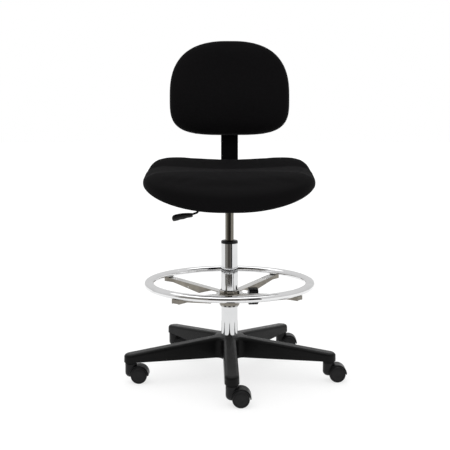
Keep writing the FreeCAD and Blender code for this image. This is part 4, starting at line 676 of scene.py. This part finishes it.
# Half section of a wheel: distance from its outer face, radius. Both in millimetres.
# It starts at the bottom of the blind bore that the axle runs in.
WHEEL_SECTION = [
    (4.2, 1.5), (4.2, 3.2), (4.6, 3.35), (12.0, 3.35), (19.4, 3.35), (19.9, 3.8),
    (19.9, 5.2), (19.9, 12.0), (19.9, 20.4), (19.6, 21.6), (18.9, 22.7), (17.9, 23.4),
    (16.2, 23.8), (13.2, 24.0), (10.6, 24.0), (10.1, 23.7), (9.6, 24.0), (7.0, 24.0),
    (4.2, 23.9), (2.5, 23.5), (1.2, 22.7), (0.4, 21.8), (0.0, 20.9), (0.0, 20.0),
    (0.3, 19.6), (1.3, 19.2), (1.4, 18.6), (0.9, 18.1), (0.7, 17.4), (0.55, 13.0),
    (0.35, 9.0), (0.3, 7.2), (0.5, 6.7), (0.9, 6.4), (0.9, 5.6), (0.7, 3.0),
]
WHEEL_POINTS = 96


def caster_wheel(name, outward):
    """A twin wheel with a rim bead, a face disc and an axle cap."""
    low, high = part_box(name)
    x, z = (low.x + high.x) / 2, (low.z + high.z) / 2
    face = low.y if outward < 0 else high.y
    rings = []
    for depth, radius in WHEEL_SECTION:
        ring = []
        for step in range(WHEEL_POINTS):
            turn = 2 * math.pi * step / WHEEL_POINTS
            ring.append(Vector((x + radius * MM * math.cos(turn), face - outward * depth * MM,
                                z + radius * MM * math.sin(turn))))
        rings.append(ring)
    piece = as_object(name + "_look", lofted(name, rings), TREAD, BODY_OF[name], SLOT_OF[name])
    smooth = piece.modifiers.new("finer", "SUBSURF")
    smooth.levels = 1
    smooth.render_levels = 1
    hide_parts(name)


# ---- studio -------------------------------------------------------------------------


# Fitted to the photograph: millimetres, metres and radians.
CAMERA = {"sensor": 36, "lens": 63.704, "shift": -0.01, "away": 2.37598,
          "height": 0.74165, "down": 0.12074}


def camera():
    data = bpy.data.cameras.new("camera")
    data.sensor_width = CAMERA["sensor"]
    data.lens = CAMERA["lens"]
    data.shift_x = CAMERA["shift"]
    data.clip_end = 100
    item = bpy.data.objects.new("camera", data)
    COLLECTION.objects.link(item)
    item.location = (0, -CAMERA["away"], CAMERA["height"])
    item.rotation_euler = (math.pi / 2 - CAMERA["down"], 0, 0)
    SCENE.camera = item


def plain_floor():
    mesh = bpy.data.meshes.new("floor")
    build = bmesh.new()
    bmesh.ops.create_circle(build, cap_ends=True, radius=40, segments=96)
    build.to_mesh(mesh)
    build.free()
    it = Finish("pale_floor", (0.31, 0.31, 0.31), 0.75, Specular_IOR_Level=0.1,
                Emission_Strength=0.71)
    it.shader.inputs["Emission Color"].default_value = (1, 1, 1, 1)
    mesh.materials.append(it.material)
    item = bpy.data.objects.new("floor", mesh)
    COLLECTION.objects.link(item)


def studio_sky():
    """Even white light all round, stronger from above. The camera sees plain white."""
    world = bpy.data.worlds.new("studio")
    SCENE.world = world
    world.use_nodes = True
    tree = world.node_tree
    tree.nodes.clear()
    out = tree.nodes.new("ShaderNodeOutputWorld")
    where = tree.nodes.new("ShaderNodeTexCoord")
    split = tree.nodes.new("ShaderNodeSeparateXYZ")
    tree.links.new(where.outputs["Generated"], split.inputs[0])
    ramp = tree.nodes.new("ShaderNodeValToRGB")
    ramp.color_ramp.elements[0].position = 0.0
    ramp.color_ramp.elements[0].color = (0.68, 0.68, 0.68, 1)
    ramp.color_ramp.elements[1].position = 1.0
    ramp.color_ramp.elements[1].color = (0.84, 0.84, 0.84, 1)
    tree.links.new(split.outputs[2], ramp.inputs[0])
    light = tree.nodes.new("ShaderNodeBackground")
    tree.links.new(ramp.outputs[0], light.inputs[0])
    seen = tree.nodes.new("ShaderNodeBackground")
    seen.inputs[0].default_value = (1, 1, 1, 1)
    path = tree.nodes.new("ShaderNodeLightPath")
    pick = tree.nodes.new("ShaderNodeMixShader")
    tree.links.new(path.outputs["Is Camera Ray"], pick.inputs[0])
    tree.links.new(light.outputs[0], pick.inputs[1])
    tree.links.new(seen.outputs[0], pick.inputs[2])
    tree.links.new(pick.outputs[0], out.inputs[0])


def soft_sun(name, toward, wide, strength):
    """A broad soft light that is as strong everywhere on the floor."""
    data = bpy.data.lights.new(name, "SUN")
    data.angle = math.radians(wide)
    data.energy = strength
    item = bpy.data.objects.new(name, data)
    COLLECTION.objects.link(item)
    item.rotation_euler = Vector(toward).to_track_quat("-Z", "Y").to_euler()


CARD_RADIUS = 1.35
CARD_FOOT = 0.002
CARD_TOP = 1.15
CARD_STEPS = 16


def dark_card(name, low, high, shade):
    """A curved dark card in front of the chair that only reflections pick up."""
    mesh = bpy.data.meshes.new(name)
    build = bmesh.new()
    rows = []
    for step in range(CARD_STEPS + 1):
        turn = math.radians(low + (high - low) * step / CARD_STEPS)
        x, y = CARD_RADIUS * math.sin(turn), -CARD_RADIUS * math.cos(turn)
        rows.append([build.verts.new((x, y, z)) for z in (CARD_FOOT, CARD_TOP)])
    for one, other in zip(rows, rows[1:]):
        build.faces.new((one[0], other[0], other[1], one[1]))
    build.to_mesh(mesh)
    build.free()
    it = Finish(name, (0, 0, 0), 1.0, Emission_Strength=1.0)
    it.shader.inputs["Emission Color"].default_value = (*shade, 1)
    it.shader.inputs["Specular IOR Level"].default_value = 0
    mesh.materials.append(it.material)
    item = bpy.data.objects.new(name, mesh)
    COLLECTION.objects.link(item)
    item.visible_camera = False
    item.visible_diffuse = False
    item.visible_shadow = False
    item.visible_transmission = False


# Dark cards round the chair that give polished metal its stripes: name, first and last
# direction in degrees from the front, shade.
CARDS = [
    ("card_left", -64, -25, (0.25, 0.24, 0.22)),
    ("card_middle", -25, 12, (0.085, 0.078, 0.07)),
    ("card_streak", 12, 22, (0.16, 0.15, 0.14)),
    ("card_right", 22, 38, (0.02, 0.02, 0.02)),
]


def studio():
    SCENE.view_settings.view_transform = "Standard"
    studio_sky()
    plain_floor()
    soft_sun("overhead", (0.12, -0.1, -1), 70, 1.25)
    for name, low, high, shade in CARDS:
        dark_card(name, low, high, shade)


dress_cad_nodes()
seat_pad()
back_pad()
lever_grip()
for wheel in sorted(NODES):
    if wheel.endswith("_wheel_front"):
        caster_wheel(wheel, -1)
    if wheel.endswith("_wheel_rear"):
        caster_wheel(wheel, 1)
studio()
camera()
